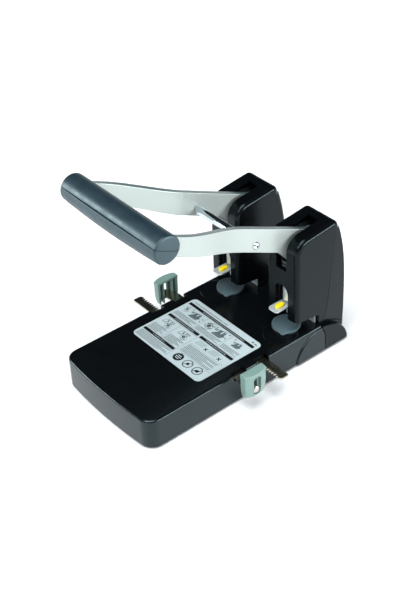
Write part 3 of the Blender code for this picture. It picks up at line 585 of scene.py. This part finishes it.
class Print:
    """Flat ink shapes on the label, gathered into one mesh."""

    def __init__(self, level):
        self.shape = bmesh.new()
        self.low = 33.06
        self.high = level

    def patch(self, points):
        low = [self.shape.verts.new((x, y, self.low)) for x, y in points]
        high = [self.shape.verts.new((x, y, self.high)) for x, y in points]
        count = len(points)
        self.shape.faces.new(high)
        self.shape.faces.new(list(reversed(low)))
        for i in range(count):
            j = (i + 1) % count
            self.shape.faces.new((low[i], low[j], high[j], high[i]))

    def bar(self, x0, y0, x1, y1):
        self.patch([(x0, y0), (x1, y0), (x1, y1), (x0, y1)])

    def pill(self, x0, y0, x1, y1, radius):
        self.patch(rounded([(x0, y0, radius), (x1, y0, radius), (x1, y1, radius), (x0, y1, radius)], 4))

    def line(self, start, end, width):
        a, b = Vector(start), Vector(end)
        side = (b - a).normalized().orthogonal() * width / 2
        self.patch([tuple(p) for p in (a + side, a - side, b - side, b + side)][::-1])

    def disc(self, x, y, radius, steps=28):
        self.patch(arc((x, y), radius, 0, 360 - 360 / steps, steps - 1))

    def ring(self, x, y, outer, inner, start=0.0, end=360.0, steps=32):
        for i in range(steps):
            a = start + (end - start) * i / steps
            b = start + (end - start) * (i + 1) / steps
            first, second = arc((x, y), 1.0, a, b, 1)
            quad = []
            for (ux, uy), radius in ((first, inner), (second, inner), (second, outer), (first, outer)):
                quad.append((x + (ux - x) * radius, y + (uy - y) * radius))
            self.patch(quad)

    def rows(self, x0, x1, top, count, step, width, shorten=0.0):
        """Plain ruled rows that stand for blocks of small print."""
        for i in range(count):
            end = x1 - (shorten if i % 3 == 2 else 0.0) - 0.9 * (i % 2)
            self.bar(x0, top - i * step - width, end, top - i * step)

    def finished(self, name, look):
        bmesh.ops.recalc_face_normals(self.shape, faces=self.shape.faces)
        bmesh.ops.scale(self.shape, vec=(UNIT,) * 3, verts=self.shape.verts)
        mesh = bpy.data.meshes.new(name)
        self.shape.to_mesh(mesh)
        self.shape.free()
        item = linked(name, mesh)
        dress(item, name, look, "base", None, 20)


def sheet_sign(ink, x, y, size):
    """A generic sign: a leaning sheet of paper with two punched holes and an arrow."""
    w, h, t = size, size * 0.62, 0.42
    lean = size * 0.28
    corners = [(x - w / 2, y - h / 2), (x + w / 2, y - h / 2), (x + w / 2 + lean, y + h / 2),
               (x - w / 2 + lean, y + h / 2)]
    for i, corner in enumerate(corners):
        ink.line(corner, corners[(i + 1) % 4], t)
    for shift in (-0.22, 0.22):
        ink.ring(x + w * shift + lean * 0.7, y + h * 0.25, w * 0.09, w * 0.045, steps=12)
    ink.line((x - w * 0.12, y - h * 0.36), (x + w * 0.04, y), t * 1.2)
    tip = (x + w * 0.04, y)
    ink.patch([(tip[0] - 0.9, tip[1] - 0.3), (tip[0] + 0.9, tip[1] - 0.4), (tip[0] + 0.4, tip[1] + 1.2)])


def press_sign(ink, grey, x, y, size):
    """A generic sign: a slab with two posts and a lever over it."""
    w = size
    slab = [(x - w * 0.50, y - w * 0.34), (x + w * 0.28, y - w * 0.34), (x + w * 0.50, y), (x - w * 0.28, y)]
    grey.patch(slab)
    for i, corner in enumerate(slab):
        ink.line(corner, slab[(i + 1) % 4], 0.34)
    for shift in (-0.22, 0.14):
        left = x + w * shift
        grey.bar(left, y - w * 0.06, left + w * 0.2, y + w * 0.30)
        for edge in (left, left + w * 0.2):
            ink.line((edge, y - w * 0.06), (edge, y + w * 0.30), 0.36)
        ink.line((left, y + w * 0.30), (left + w * 0.2, y + w * 0.30), 0.36)
    ink.line((x - w * 0.48, y + w * 0.20), (x + w * 0.30, y + w * 0.42), 0.6)
    ink.line((x - w * 0.50, y + w * 0.08), (x - w * 0.20, y + w * 0.14), 0.45)
    ink.ring(x - w * 0.52, y + w * 0.16, w * 0.10, w * 0.05, steps=12)


def hand_sign(ink, grey, x, y, size):
    """A generic sign: curved strokes round a turning knob, with a small arrow."""
    w = size
    grey.disc(x, y, w * 0.16, 16)
    ink.ring(x, y, w * 0.22, w * 0.16, steps=16)
    ink.ring(x, y, w * 0.42, w * 0.37, 20, 150, 12)
    ink.ring(x, y, w * 0.44, w * 0.39, 205, 320, 12)
    ink.ring(x - w * 0.16, y - w * 0.10, w * 0.62, w * 0.575, 250, 350, 12)
    ink.ring(x + w * 0.20, y + w * 0.16, w * 0.52, w * 0.475, 60, 190, 12)
    ink.patch([(x - w * 0.42, y + w * 0.16), (x - w * 0.28, y + w * 0.24), (x - w * 0.42, y + w * 0.34)])
    ink.line((x + w * 0.30, y - w * 0.30), (x + w * 0.56, y - w * 0.12), 0.5)


def heading(ink, pale, x0, x1, y, start, end):
    """A solid heading bar with a few light dashes where its wording would be."""
    ink.pill(x0, y - 1.75, x1, y + 1.75, 0.3)
    x = start
    width = 1.6
    while x < end:
        pale.bar(x, y - 0.26, min(x + width, end), y + 0.26)
        x += width + 1.0
        width = 0.9 + (width * 1.7) % 1.7


def make_print():
    ink = Print(33.125)
    grey = Print(33.115)
    tone = Print(33.11)
    pale = Print(33.14)
    ink.rows(-44.0, -3.0, 22.2, 1, 1, 0.6)
    ink.rows(-1.8, 4.6, 22.2, 1, 1, 0.6)
    ink.bar(38.6, 21.6, 40.4, 23.4)
    ink.bar(41.8, 21.5, 45.4, 22.5)
    heading(ink, pale, -46.6, 45.6, 17.7, -26.0, 33.0)
    heading(ink, pale, -46.6, -2.3, -7.9, -37.0, -9.0)
    heading(ink, pale, -0.2, 45.8, -7.9, 9.0, 37.0)
    heading(ink, pale, -46.6, -1.9, -37.5, -33.0, -16.0)
    for x in (-15.2, 20.6):
        ink.bar(x, -5.4, x + 0.24, 15.2)
    ink.bar(-46.6, -5.5, 45.8, -5.28)
    for x0, x1 in ((-46.0, -16.6), (-13.8, 19.2), (22.2, 45.0)):
        ink.rows(x0, x1, 1.6, 4, 1.5, 0.5, 6.0)
    hand_sign(ink, grey, -40.6, 9.6, 6.6)
    press_sign(ink, grey, -26.6, 8.4, 12.5)
    hand_sign(ink, grey, -6.6, 8.4, 9.5)
    sheet_sign(ink, -7.4, 9.0, 8.6)
    press_sign(ink, grey, 9.2, 8.0, 14.0)
    press_sign(ink, grey, 33.4, 8.2, 10.0)
    for x, y in ((-34.8, 13.2), (-17.6, 9.6), (-17.6, 5.6), (0.6, 13.0), (17.6, 13.4), (18.2, 7.0),
                 (26.0, 13.2)):
        ink.disc(x, y, 0.75, 12)
    ink.bar(-24.6, -35.4, -24.36, -10.2)
    ink.bar(-46.6, -10.6, -2.4, -10.4)
    ink.bar(-46.6, -35.3, -2.4, -35.1)
    for x0, x1 in ((-46.2, -26.6), (-22.4, -2.6)):
        ink.rows(x0, x1, -25.6, 6, 1.55, 0.5, 5.0)
    sheet_sign(ink, -38.2, -16.0, 9.5)
    hand_sign(ink, grey, -33.0, -19.8, 8.0)
    sheet_sign(ink, -14.4, -16.6, 9.5)
    hand_sign(ink, grey, -9.6, -20.0, 8.0)
    ink.rows(-46.4, -2.4, -40.6, 6, 1.5, 0.5, 9.0)
    ink.bar(-1.1, -49.0, -0.86, -10.2)
    for x in (9.0, 27.4):
        tone.patch([(x - 6.5, -17.6), (x + 4.4, -17.6), (x + 6.8, -11.2), (x - 4.1, -11.2)])
        ink.line((x + 7.4, -18.2), (x + 11.0, -14.6), 0.95)
        ink.line((x + 7.4, -14.6), (x + 11.0, -18.2), 0.95)
    ink.bar(1.0, -20.4, 45.6, -20.2)
    ink.rows(1.8, 43.0, -22.2, 8, 1.55, 0.5, 12.0)
    ink.disc(9.4, -41.4, 5.3, 40)
    for level, reach in ((-39.4, 2.4), (-41.4, 3.4), (-43.4, 2.4)):
        pale.bar(9.4 - reach, level - 0.35, 9.4 + reach, level + 0.35)
    for x in (22.9, 36.3):
        ink.ring(x, -41.4, 5.3, 4.45, steps=36)
        ink.line((x - 3.4, -44.8), (x + 3.4, -38.0), 0.8)
    ink.disc(22.9, -41.4, 1.7, 20)
    ink.patch([(33.6, -43.4), (37.8, -43.4), (39.0, -40.4), (34.8, -40.4)])
    ink.bar(1.0, -35.2, 45.6, -35.0)
    ink.finished("label_print_dark", INK)
    grey.finished("label_print_grey", GREY_INK)
    tone.finished("label_print_tone", TONE_INK)
    pale.finished("label_print_light", PALE_INK)


def make_discs():
    for word, side in SIDES:
        centre = (side * HOLE, DISC_Y)
        profile = [(0, 34.35), (11.3, 34.35), (11.7, 34.45), (12.0, 34.72), (12.4, 34.8), (13.1, 34.76),
                   (13.5, 34.55), (DISC_RADIUS, 34.1), (DISC_RADIUS, 30.7), (13.4, 30.4), (0, 30.4)]
        disc = turned("disc", profile, 96, centre)
        angle = math.radians(DISC_TAB_ANGLE)
        tip = Vector((math.cos(angle), math.sin(angle)))
        across = Vector((-tip.y, tip.x))
        middle = Vector(centre)
        corners = [(*(middle + tip * 12.6 + across * 5.6), 0), (*(middle + tip * 12.6 - across * 5.6), 0),
                   (*(middle + tip * 14.2 - across * 4.2), 1.5), (*(middle + tip * 17.5 - across * 0.9), 1.4),
                   (*(middle + tip * 17.5 + across * 0.9), 1.4), (*(middle + tip * 14.2 + across * 4.2), 1.5)]
        tab = outline_solid("tab", rounded(corners, 5), "XY", BASE_TOP + 0.35, 34.7)
        soften(tab, lambda a, b: min(a.z, b.z) > 34.65, 0.45, 3)
        join(disc, tab)
        dress(disc, f"disc_{word}_moulding", SLATE, f"disc_{word}", f"cutting_disc_{word}")


# ---------------------------------------------------------------- paper guides

def tooth_half_width(height):
    return TOOTH_PITCH * (0.205 - 0.105 * height / TOOTH_ADDENDUM)


def rack_outline():
    root = PINION_Y - PITCH_RADIUS - TOOTH_DEDENDUM
    tip = PINION_Y - PITCH_RADIUS + TOOTH_ADDENDUM
    back = PINION_Y - RACK_BACK
    points = [(-90.9, back), (-91.5, back + 0.6), *arc((-88.1, tip - 3.4), 3.4, 180, 90, 8),
              (-87.2, tip), (-86.6, root)]
    wide, narrow = tooth_half_width(-TOOTH_DEDENDUM), tooth_half_width(TOOTH_ADDENDUM)
    first = math.ceil(-85.5 / TOOTH_PITCH - 0.5)
    last = math.floor(24.0 / TOOTH_PITCH - 0.5)
    for number in range(first, last + 1):
        x = (number + 0.5) * TOOTH_PITCH
        points += [(x - wide, root), (x - narrow, tip), (x + narrow, tip), (x + wide, root)]
    points += [(50.0, root), (56.0, PINION_Y - 8.8), (81.9, PINION_Y - 8.8), (81.9, PINION_Y - 21.1),
               (56.0, PINION_Y - 21.1), (50.0, back)]
    return points


def make_racks():
    rack = outline_solid("rack", rack_outline(), "XY", RACK_BOTTOM, RACK_TOP)
    cut(rack, box("trim", (76.6, -60, 20), (90, GUIDE_MIDDLE - 4.2, 40)),
        box("trim", (76.6, GUIDE_MIDDLE + 4.2, 20), (90, 60, 40)))
    join(rack, box("flange", (80.6, GUIDE_MIDDLE - 4.0, 22.0), (82.2, GUIDE_MIDDLE + 4.0, 29.2)))
    ease_edges(rack, 0.12, 2)
    left = half_turned(rack, "rack")
    dress(rack, "rack_right_plate", NICKEL, "rack_right", "rack_right")
    dress(left, "rack_left_plate", NICKEL, "rack_left", "rack_left")


def guide_outline(grow):
    half = GUIDE_HALF_WIDTH + grow
    points = [(GUIDE_INNER, GUIDE_MIDDLE - half)]
    for i in range(17):
        across = -1 + i / 8
        points.append((GUIDE_OUTER + grow - 2.6 * across ** 2 - 0.4 * across ** 8,
                       GUIDE_MIDDLE + half * across))
    return points + [(GUIDE_INNER, GUIDE_MIDDLE + half)]


def upright_slot(half, low, high, front, rear):
    outline = [(GUIDE_MIDDLE + u, v) for u, v in arc((0, high - half), half, 0, 180, 14)]
    outline += [(GUIDE_MIDDLE + u, v) for u, v in arc((0, low + half), half, 180, 360, 14)]
    return outline_solid("slot", outline, "YZ", front, rear)


def make_guides():
    block = outline_solid("block", guide_outline(-0.35), "XY", GUIDE_BOTTOM, GUIDE_TOP - 3.6)

    def barrel(body):
        for level in (22.0, 24.0, 26.0, 28.0, 30.0, 32.5, 35.0):
            bmesh.ops.bisect_plane(body, geom=[*body.verts, *body.edges, *body.faces],
                                   plane_co=(0, 0, level), plane_no=(0, 0, 1))
        for vert in body.verts:
            drop = max(0.0, (35.0 - vert.co.z) / 15.0)
            vert.co.y = GUIDE_MIDDLE + (vert.co.y - GUIDE_MIDDLE) * (1 - 0.13 * drop ** 2.6)
            if vert.co.x > GUIDE_INNER + 1:
                vert.co.x -= 1.2 * drop ** 2.6
    edit(block, barrel)
    soften(block, lambda a, b: min(a.x, b.x) > GUIDE_INNER + 1 and max(a.z, b.z) < GUIDE_BOTTOM + 0.1, 1.4, 4)
    cap = outline_solid("cap", guide_outline(0.0), "XY", GUIDE_TOP - 4.0, GUIDE_TOP)
    soften(cap, lambda a, b: min(a.x, b.x) > GUIDE_INNER + 1 and min(a.z, b.z) > GUIDE_TOP - 0.1, 1.5, 4)
    join(block, cap)
    top = GUIDE_TOP - 2.2
    tools = [box("middle", (GUIDE_INNER - 5, GUIDE_MIDDLE - 4.9, 0),
                 (CHANNEL_FLOOR - 0.9, GUIDE_MIDDLE + 4.9, top))]
    for side in (-1, 1):
        low, high = sorted((GUIDE_MIDDLE + side * 6.2, GUIDE_MIDDLE + side * 9.4))
        tools.append(box("side", (GUIDE_INNER - 5, low, 0), (82.0, high, top)))
    tools.append(upright_slot(4.2, RIVET_HEIGHT - 4.2, 42.0, CHANNEL_FLOOR, 95))
    tools.append(upright_slot(1.9, RIVET_HEIGHT - 1.9, 40.2, 80, 95))
    cut(block, *tools)
    ease_edges(block, 0.25, 2, 35)
    left = half_turned(block, "block")
    dress(block, "guide_right_moulding", GREEN, "guide_right", "guide_block_right")
    dress(left, "guide_left_moulding", GREEN, "guide_left", "guide_block_left")


def make_rivets():
    head = CHANNEL_FLOOR + 0.3
    profile = [(0, head + 1.8), (1.2, head + 1.75), (2.4, head + 1.55), (3.3, head + 1.1), (3.75, head + 0.6),
               (3.8, head + 0.15), (3.7, head), (1.5, head), (1.5, 82.5), (0, 82.5)]
    rivet = lay_along_x(turned("rivet", profile, 48, (0, 0)), GUIDE_MIDDLE, RIVET_HEIGHT)
    left = half_turned(rivet, "rivet")
    dress(rivet, "rivet_right_stud", RIVET_LOOK, "rack_right", "guide_rivet_right")
    dress(left, "rivet_left_stud", RIVET_LOOK, "rack_left", "guide_rivet_left")


# ---------------------------------------------------------------- towers

def rear_wall(z):
    if z > 45:
        return TOWER_REAR - 1.51e-5 * (z - 45) ** 3
    return TOWER_REAR - 0.9 * ((45 - z) / 45) ** 2


def top_line(y):
    return TOP_FRONT + (TOP_REAR - TOP_FRONT) * (y - TOWER_FRONT) / (TOP_CORNER - TOWER_FRONT)


def tower_outline(inset):
    front = TOWER_FRONT + inset
    corner = TOP_CORNER - inset
    bottom = OUTLINE_BOTTOM - inset
    corners = [(SEAM[0][0] + inset, bottom, 0), (SEAM[1][0] + inset, SEAM[1][1], 0),
               (SEAM[2][0] + inset, SEAM[2][1], 0), (THROAT_REAR + inset, THROAT_TOP_REAR + inset, 0),
               (front, THROAT_TOP_FRONT + inset, 0), (front, top_line(front) - inset, 15 - inset),
               (corner, top_line(corner) - inset, 6.0 - inset)]
    outline = rounded(corners, 14)
    outline += [(rear_wall(z) - inset, z) for z in (130, 122, 114, 106, 96, 85, 72, 58, 45, 32, 20)]
    return outline + [(rear_wall(SHELL_BOTTOM) - inset, bottom)]


def crease_panel():
    """The slightly sunk rear part of a tower's outer side."""
    line = [(107.6, 150.0), (106.2, 136.0), (104.6, 118.0), (102.4, 93.0), (99.6, 78.0), (98.6, 64.0),
            (97.2, 51.0), (95.2, 42.4), (92.8, 37.0), (91.6, 34.0), (93.4, 31.5), (100.0, 31.0)]
    outline = line + [(112.0, 25.0), (124.0, 16.0), (140.0, 16.0), (140.0, 150.0)]
    panel = outline_solid("crease", outline, "YZ", HOLE + TOWER_HALF - 0.45, 90)

    def lean(body):
        for vert in body.verts:
            if vert.co.x < 70:
                vert.co.x -= 0.05 * (vert.co.y - 97)
    edit(panel, lean)
    return panel


def crease_groove():
    """A fine groove where the tower's outer side changes direction."""
    line = [(107.9, 150.0), (106.5, 136.0), (104.9, 118.0), (102.7, 93.0), (99.9, 78.0), (98.9, 64.0),
            (97.5, 51.0), (95.5, 42.4), (93.2, 37.4)]
    outline = [(y - 1.0, z) for y, z in line] + [(y, z) for y, z in reversed(line)]
    return outline_solid("groove", outline, "YZ", HOLE + TOWER_HALF - 1.2, 90)


def make_towers():
    low, high = HOLE - TOWER_HALF, HOLE + TOWER_HALF
    cover = outline_solid("cover", tower_outline(0), "YZ", low, high)

    def outer_edge(a, b):
        flat = abs(a.x - b.x) < 0.01
        return flat and (max(a.y, b.y) < TOWER_FRONT + 0.5 or min(a.z, b.z) > 110 or min(a.y, b.y) > 108)
    soften(cover, outer_edge, 4.6, 8)
    boss = combine(arch_boss(1), [outline_solid("reach", tower_outline(0.4), "YZ", 50, 70)], "INTERSECT")
    cut(cover, crease_panel())
    cut(cover, crease_groove())
    join(cover, boss)
    hollow = outline_solid("hollow", tower_outline(TOWER_WALL), "YZ", low + TOWER_WALL, high - TOWER_WALL)
    arm_slot = box("arm_slot", (HOLE - ARM_SLOT_HALF, 40, 99.4), (HOLE + ARM_SLOT_HALF, 96.4, 160))
    arch = arc((0, PIN_SLOT_TOP - PIN_SLOT_HALF), PIN_SLOT_HALF, 180, 0, 28)
    pin_slot = [(HOLE - PIN_SLOT_HALF, 30.0), *[(HOLE + u, v) for u, v in arch], (HOLE + PIN_SLOT_HALF, 30.0)]
    cut(cover, hollow, arm_slot, outline_solid("pin_slot", pin_slot, "XZ", 40, 76.8))
    level_off(cover)
    ease_edges(cover, 0.40, 3, 40)
    left = mirrored(cover, "cover")
    dress(cover, "tower_right_moulding", BLACK_TOWER_SHADED, "base", "tower_cover_right")
    dress(left, "tower_left_moulding", BLACK_TOWER_SHADED, "base", "tower_cover_left")


def make_pins():
    body = [(0, 84.0), (6.1, 84.0), (6.5, 83.6), (6.5, 62.2), (6.35, 61.7), (5.5, 60.9), (5.2, 60.8),
            (3.25, 60.8), (3.25, 46.3), (2.7, 46.3), (2.5, 47.3), (2.5, 74.0), (0, 75.5)]
    head = [(0, 106.7), (7.6, 106.7), (8.0, 106.5), (8.2, 106.1), (8.2, 104.3), (6.5, 104.3), (6.3, 104.0),
            (6.3, 84.2), (6.1, 84.0), (0, 84.0)]
    for word, side in SIDES:
        pin = turned("pin", body, 64, (side * HOLE, PIN_Y))
        dress(pin, f"pin_{word}_steel", PIN_LOOK, f"pin_{word}", f"punch_pin_{word}")
        # The head is dark steel as painted shade for the dark inside of the tower around it.
        flange = turned("flange", head, 64, (side * HOLE, PIN_Y))
        dress(flange, f"pin_{word}_head", DARK_STEEL, f"pin_{word}", None)


def make_springs():
    """Coils between the frame's guide block and each pin's flange."""
    wire, radius, turns, per_turn = 0.7, 7.6, 4.5, 32
    bottom, top = SPRING_SEAT + wire, 104.0 - wire
    for word, side in SIDES:
        curve = bpy.data.curves.new("spring", "CURVE")
        curve.dimensions = "3D"
        curve.bevel_depth = wire * UNIT
        curve.bevel_resolution = 3
        curve.use_fill_caps = True
        spline = curve.splines.new("POLY")
        count = int(turns * per_turn)
        spline.points.add(count)
        for i, point in enumerate(spline.points):
            angle = 2 * math.pi * i / per_turn
            share = min(1.0, max(0.0, (i - per_turn * 0.4) / (count - per_turn * 0.8)))
            x = side * HOLE + radius * math.cos(angle)
            y = PIN_Y + radius * math.sin(angle)
            point.co = (x * UNIT, y * UNIT, (bottom + (top - bottom) * share) * UNIT, 1)
        spring = baked(linked("spring", curve))
        # The coil's dark steel is painted shade for the dark inside of the tower.
        dress(spring, f"spring_{word}_coil", SPRING, "base", f"return_spring_{word}")
        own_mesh(spring)


def button_outline(centre, grow):
    half = 2.7 + grow
    return arc((centre, 57.6), half, 0, 180, 18) + arc((centre, 53.0), half, 180, 360, 18)


def make_clips():
    half, tip, corner = 6.1, 45.5, 3.4
    for word, side in SIDES:
        centre = side * HOLE
        outline = [(centre + half, 73.0)]
        outline += arc((centre + half - corner, tip + corner), corner, 0, -90, 10)
        outline += arc((centre - half + corner, tip + corner), corner, -90, -180, 10)
        outline += [(centre - half, 73.0), (centre - 3.7, 73.0), *arc((centre, PIN_Y), 3.7, -180, 0, 20),
                    (centre + 3.7, 73.0)]
        clip = outline_solid("clip", outline, "XY", CLIP_BOTTOM, CLIP_TOP)
        cut(clip, outline_solid("window", button_outline(centre, 0.3), "XY", 50, 70))
        ease_edges(clip, 0.35, 3)
        dress(clip, f"clip_{word}_plate", CLIP_LOOK, f"clip_{word}", f"release_clip_{word}")
        button = outline_solid("button", button_outline(centre, 0), "XY", 58.1, 60.9)
        soften(button, lambda a, b: min(a.z, b.z) > 60.8, 0.9, 4)
        dress(button, f"button_{word}_moulding", YELLOW, f"button_{word}", f"release_button_{word}")


# ---------------------------------------------------------------- lever

def arm_top(y):
    return ARM_TOP_AT_ZERO - ARM_SLOPE * y


def arm_height(y):
    return 24.6 - 0.07 * max(0.0, 5.0 - y)


def arm_middle(y):
    share = min(1.0, max(0.0, (12.0 - y) / 76.0))
    return HOLE + 15.6 * share * share * (3 - 2 * share)


def make_arms():
    stations = [12.0 - 80.0 * i / 44 for i in range(45)]
    tilt = math.degrees(math.atan(ARM_SLOPE))
    tail = [(50.7, 121.4), *arc((66.5, 114.0), 7.0, -150, -89, 10), *arc(PIVOT, 9.0, -89, 90 - tilt, 24)]
    eye = arc(GRIP, 9.0, 90 - tilt, 270 - tilt, 20)
    shape = bmesh.new()

    def vertex(y, z):
        return shape.verts.new((arm_middle(y), y, z))
    top = [vertex(y, arm_top(y)) for y in stations]
    bottom = [vertex(y, arm_top(y) - arm_height(y)) for y in stations]
    for i in range(len(stations) - 1):
        shape.faces.new((top[i], top[i + 1], bottom[i + 1], bottom[i]))
    shape.faces.new([top[0], bottom[0], *[vertex(y, z) for y, z in tail]])
    shape.faces.new([bottom[-1], top[-1], *[vertex(y, z) for y, z in eye]])
    arm = mesh_object("arm", shape)
    thick = arm.modifiers.new("Thick", "SOLIDIFY")
    thick.thickness = ARM_THICK * UNIT
    thick.offset = 0
    thick.use_even_offset = True
    baked(arm)
    edit(arm, lambda body: bmesh.ops.recalc_face_normals(body, faces=body.faces))
    ease_edges(arm, 0.9, 4, 50)
    join(arm, cylinder("boss", 8.4, "X", PIVOT, HOLE - 8.2, HOLE + 8.2))
    cut(arm, cylinder("pivot", 4.3, "X", PIVOT, 0, 90, 48), cylinder("eye", 5.3, "X", GRIP, 0, 90, 48),
        cylinder("screw", 2.3, "X", BAR, 0, 90, 32))
    left = mirrored(arm, "arm")
    dress(arm, "arm_right_plate", SILVER, "lever", "lever_arm_right")
    dress(left, "arm_left_plate", SILVER, "lever", "lever_arm_left")


def make_bar():
    reach = HOLE - ARM_THICK / 2 - 0.3
    profile = [(0, reach), (3.3, reach), (3.9, reach - 0.6), (3.9, -reach + 0.6), (3.3, -reach), (0, -reach)]
    bar = lay_along_x(turned("bar", profile, 48, (0, 0)), *BAR)
    dress(bar, "cross_bar_rod", BAR_LOOK, "lever", "cross_bar")
    face = HOLE + ARM_THICK / 2 + 0.3
    profile = [(0, face + 2.0), (1.6, face + 1.9), (2.6, face + 1.55), (3.3, face + 0.95),
               (3.6, face + 0.35), (3.6, face), (2.0, face), (2.0, reach + 0.3), (0, reach + 0.3)]
    screw = lay_along_x(turned("screw", profile, 40, (0, 0)), *BAR)
    hexagon = [(BAR[0] + u, BAR[1] + v) for u, v in arc((0, 0), 1.35, 0, 300, 5)]
    recess = outline_solid("recess", hexagon, "YZ", face + 0.7, face + 5)
    cut(screw, recess)
    left = mirrored(screw, "screw")
    dress(screw, "bar_screw_right_head", BRIGHT, "lever", "cross_bar_screw_right")
    dress(left, "bar_screw_left_head", BRIGHT, "lever", "cross_bar_screw_left")


def grip_profile(swell):
    end = GRIP_HALF_LENGTH
    outer = [(0, end), (4.0, end - 0.06), (8.0, end - 0.28), (10.6, end - 0.55), (11.9, end - 0.85),
             (12.6, end - 1.4), (12.92, end - 2.1), (GRIP_RADIUS, end - 3.0)]
    for i in range(1, 20):
        x = (end - 3.0) * (1 - i / 10)
        outer.append((GRIP_RADIUS + swell * math.cos(math.pi * x / (2 * end)), x))
    return outer + [(r, -x) for r, x in reversed(outer[:8])]


def make_grip():
    turn = Matrix.Rotation(-math.atan(ARM_SLOPE), 3, "X")
    for word, sign, swell in (("upper", 1, 0.0), ("lower", -1, 1.7)):
        half = lay_along_x(turned("grip", grip_profile(swell), 96, (0, 0)), 0, 0)
        low, high = sorted((-sign * 30.0, sign * 0.22))
        tools = [cylinder("hollow", 10.4, "X", (0, 0), -61.5, 61.5, 64),
                 box("away", (-90, -30, low), (90, 30, high))]
        for _, side in SIDES:
            x_low, x_high = sorted((side * 52.0, side * 59.4))
            tools.append(box("arm_way", (x_low, 0, -9.5), (x_high, 30, 9.5)))
        cut(half, *tools)
        ease_edges(half, 0.55, 3, 40)

        def place(body):
            bmesh.ops.rotate(body, matrix=turn, verts=body.verts)
            bmesh.ops.translate(body, vec=(0, *GRIP), verts=body.verts)
        edit(half, place)
        dress(half, f"grip_{word}_moulding", GRIP_LOOK, "lever", f"grip_{word}")


def finish_plain_nodes():
    """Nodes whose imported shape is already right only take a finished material."""
    looks = {
        "base_plate": DARK_STEEL, "pinion_post": DARK_STEEL, "pinion": NICKEL, "grip_core": DARK_STEEL,
    }
    for number in range(1, 5):
        looks[f"foot_{number}"] = RUBBER
        looks[f"plate_screw_{number}"] = NICKEL
    for word, _ in SIDES:
        looks[f"head_frame_{word}"] = DARK_STEEL
        looks[f"paper_stop_{word}"] = CLIP_LOOK
        looks[f"pivot_pin_{word}"] = NICKEL
    for node, look in looks.items():
        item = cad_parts[node]
        item.data.materials.clear()
        item.data.materials.append(look)


# ---------------------------------------------------------------- stage

def camera_matrix():
    azimuth, elevation, roll = (math.radians(a) for a in (52.175, 36.957, -2.772))
    right = Vector((math.cos(azimuth), math.sin(azimuth), 0))
    rise = math.sin(elevation)
    up = Vector((-math.sin(azimuth) * rise, math.cos(azimuth) * rise, math.cos(elevation)))
    across = math.cos(roll) * right + math.sin(roll) * up
    above = math.cos(roll) * up - math.sin(roll) * right
    back = across.cross(above)
    matrix = Matrix((across, above, back)).transposed().to_4x4()
    matrix.translation = Vector((675.2, -529.7, 716.8)) * UNIT
    return matrix


def area_light(name, place, aim, size, power, colour=(1, 1, 1)):
    data = bpy.data.lights.new(name, "AREA")
    data.shape = "RECTANGLE"
    data.size, data.size_y = size
    data.energy = power
    data.color = colour
    lamp = bpy.data.objects.new(name, data)
    bpy.context.scene.collection.objects.link(lamp)
    lamp.location = place
    lamp.rotation_euler = (Vector(aim) - Vector(place)).to_track_quat("-Z", "Y").to_euler()


def sun_light(name, place, strength, angle, colour):
    data = bpy.data.lights.new(name, "SUN")
    data.energy = strength
    data.angle = math.radians(angle)
    data.color = colour
    lamp = bpy.data.objects.new(name, data)
    bpy.context.scene.collection.objects.link(lamp)
    lamp.rotation_euler = (-Vector(place)).to_track_quat("-Z", "Y").to_euler()


def make_stage():
    shape = bmesh.new()
    bmesh.ops.create_grid(shape, x_segments=2, y_segments=2, size=6.0)
    mesh = bpy.data.meshes.new("floor")
    shape.to_mesh(mesh)
    shape.free()
    floor = linked("floor", mesh)
    pale = Nodes("pale_floor")
    pale.link(pale.blend(pale.spread(pale.noise(300.0), 0, 1), (0.90, 0.90, 0.90), (0.93, 0.93, 0.93)),
              pale.shader.inputs["Base Color"])
    pale.shader.inputs["Roughness"].default_value = 0.9
    pale.shader.inputs["Specular IOR Level"].default_value = 0.1
    floor.data.materials.append(pale.material)

    world = bpy.data.worlds.new("studio")
    bpy.context.scene.world = world
    world.use_nodes = True
    tree = world.node_tree
    coordinates = tree.nodes.new("ShaderNodeTexCoord")
    split = tree.nodes.new("ShaderNodeSeparateXYZ")
    ramp = tree.nodes.new("ShaderNodeValToRGB")
    ramp.color_ramp.elements[0].position = 0.02
    ramp.color_ramp.elements[0].color = (1.0, 1.0, 1.0, 1)
    ramp.color_ramp.elements[1].position = 0.32
    ramp.color_ramp.elements[1].color = (0.018, 0.022, 0.026, 1)
    ramp.color_ramp.elements.new(0.09).color = (0.34, 0.38, 0.40, 1)
    tree.links.new(coordinates.outputs["Generated"], split.inputs["Vector"])
    tree.links.new(split.outputs["Z"], ramp.inputs["Fac"])
    tree.links.new(ramp.outputs["Color"], tree.nodes["Background"].inputs["Color"])
    tree.nodes["Background"].inputs["Strength"].default_value = 1.0

    sun_light("overhead", (0.35, -0.55, 2.3), 3.4, 45, (0.95, 0.985, 1.0))
    area_light("key", (-1.7, -1.6, 0.80), (0, 0, 0.05), (0.8, 0.4), 28, (0.95, 0.985, 1.0))
    area_light("front", (0.45, -1.55, 1.55), (0.0, 0.0, 0.06), (0.45, 0.45), 16, (0.88, 0.95, 1.0))
    area_light("rim", (2.1, 1.05, 0.62), (0.05, 0.0, 0.05), (1.6, 0.22), 52, (0.92, 0.98, 1.0))

    data = bpy.data.cameras.new("camera")
    data.lens = 70.54
    data.sensor_width = 36.0
    data.clip_end = 50.0
    camera = bpy.data.objects.new("camera", data)
    bpy.context.scene.collection.objects.link(camera)
    camera.matrix_world = camera_matrix()
    bpy.context.scene.camera = camera
    bpy.context.scene.view_settings.view_transform = "Standard"


make_base()
make_label()
make_print()
make_discs()
make_racks()
make_guides()
make_rivets()
make_towers()
make_pins()
make_springs()
make_clips()
make_arms()
make_bar()
make_grip()
finish_plain_nodes()
make_stage()
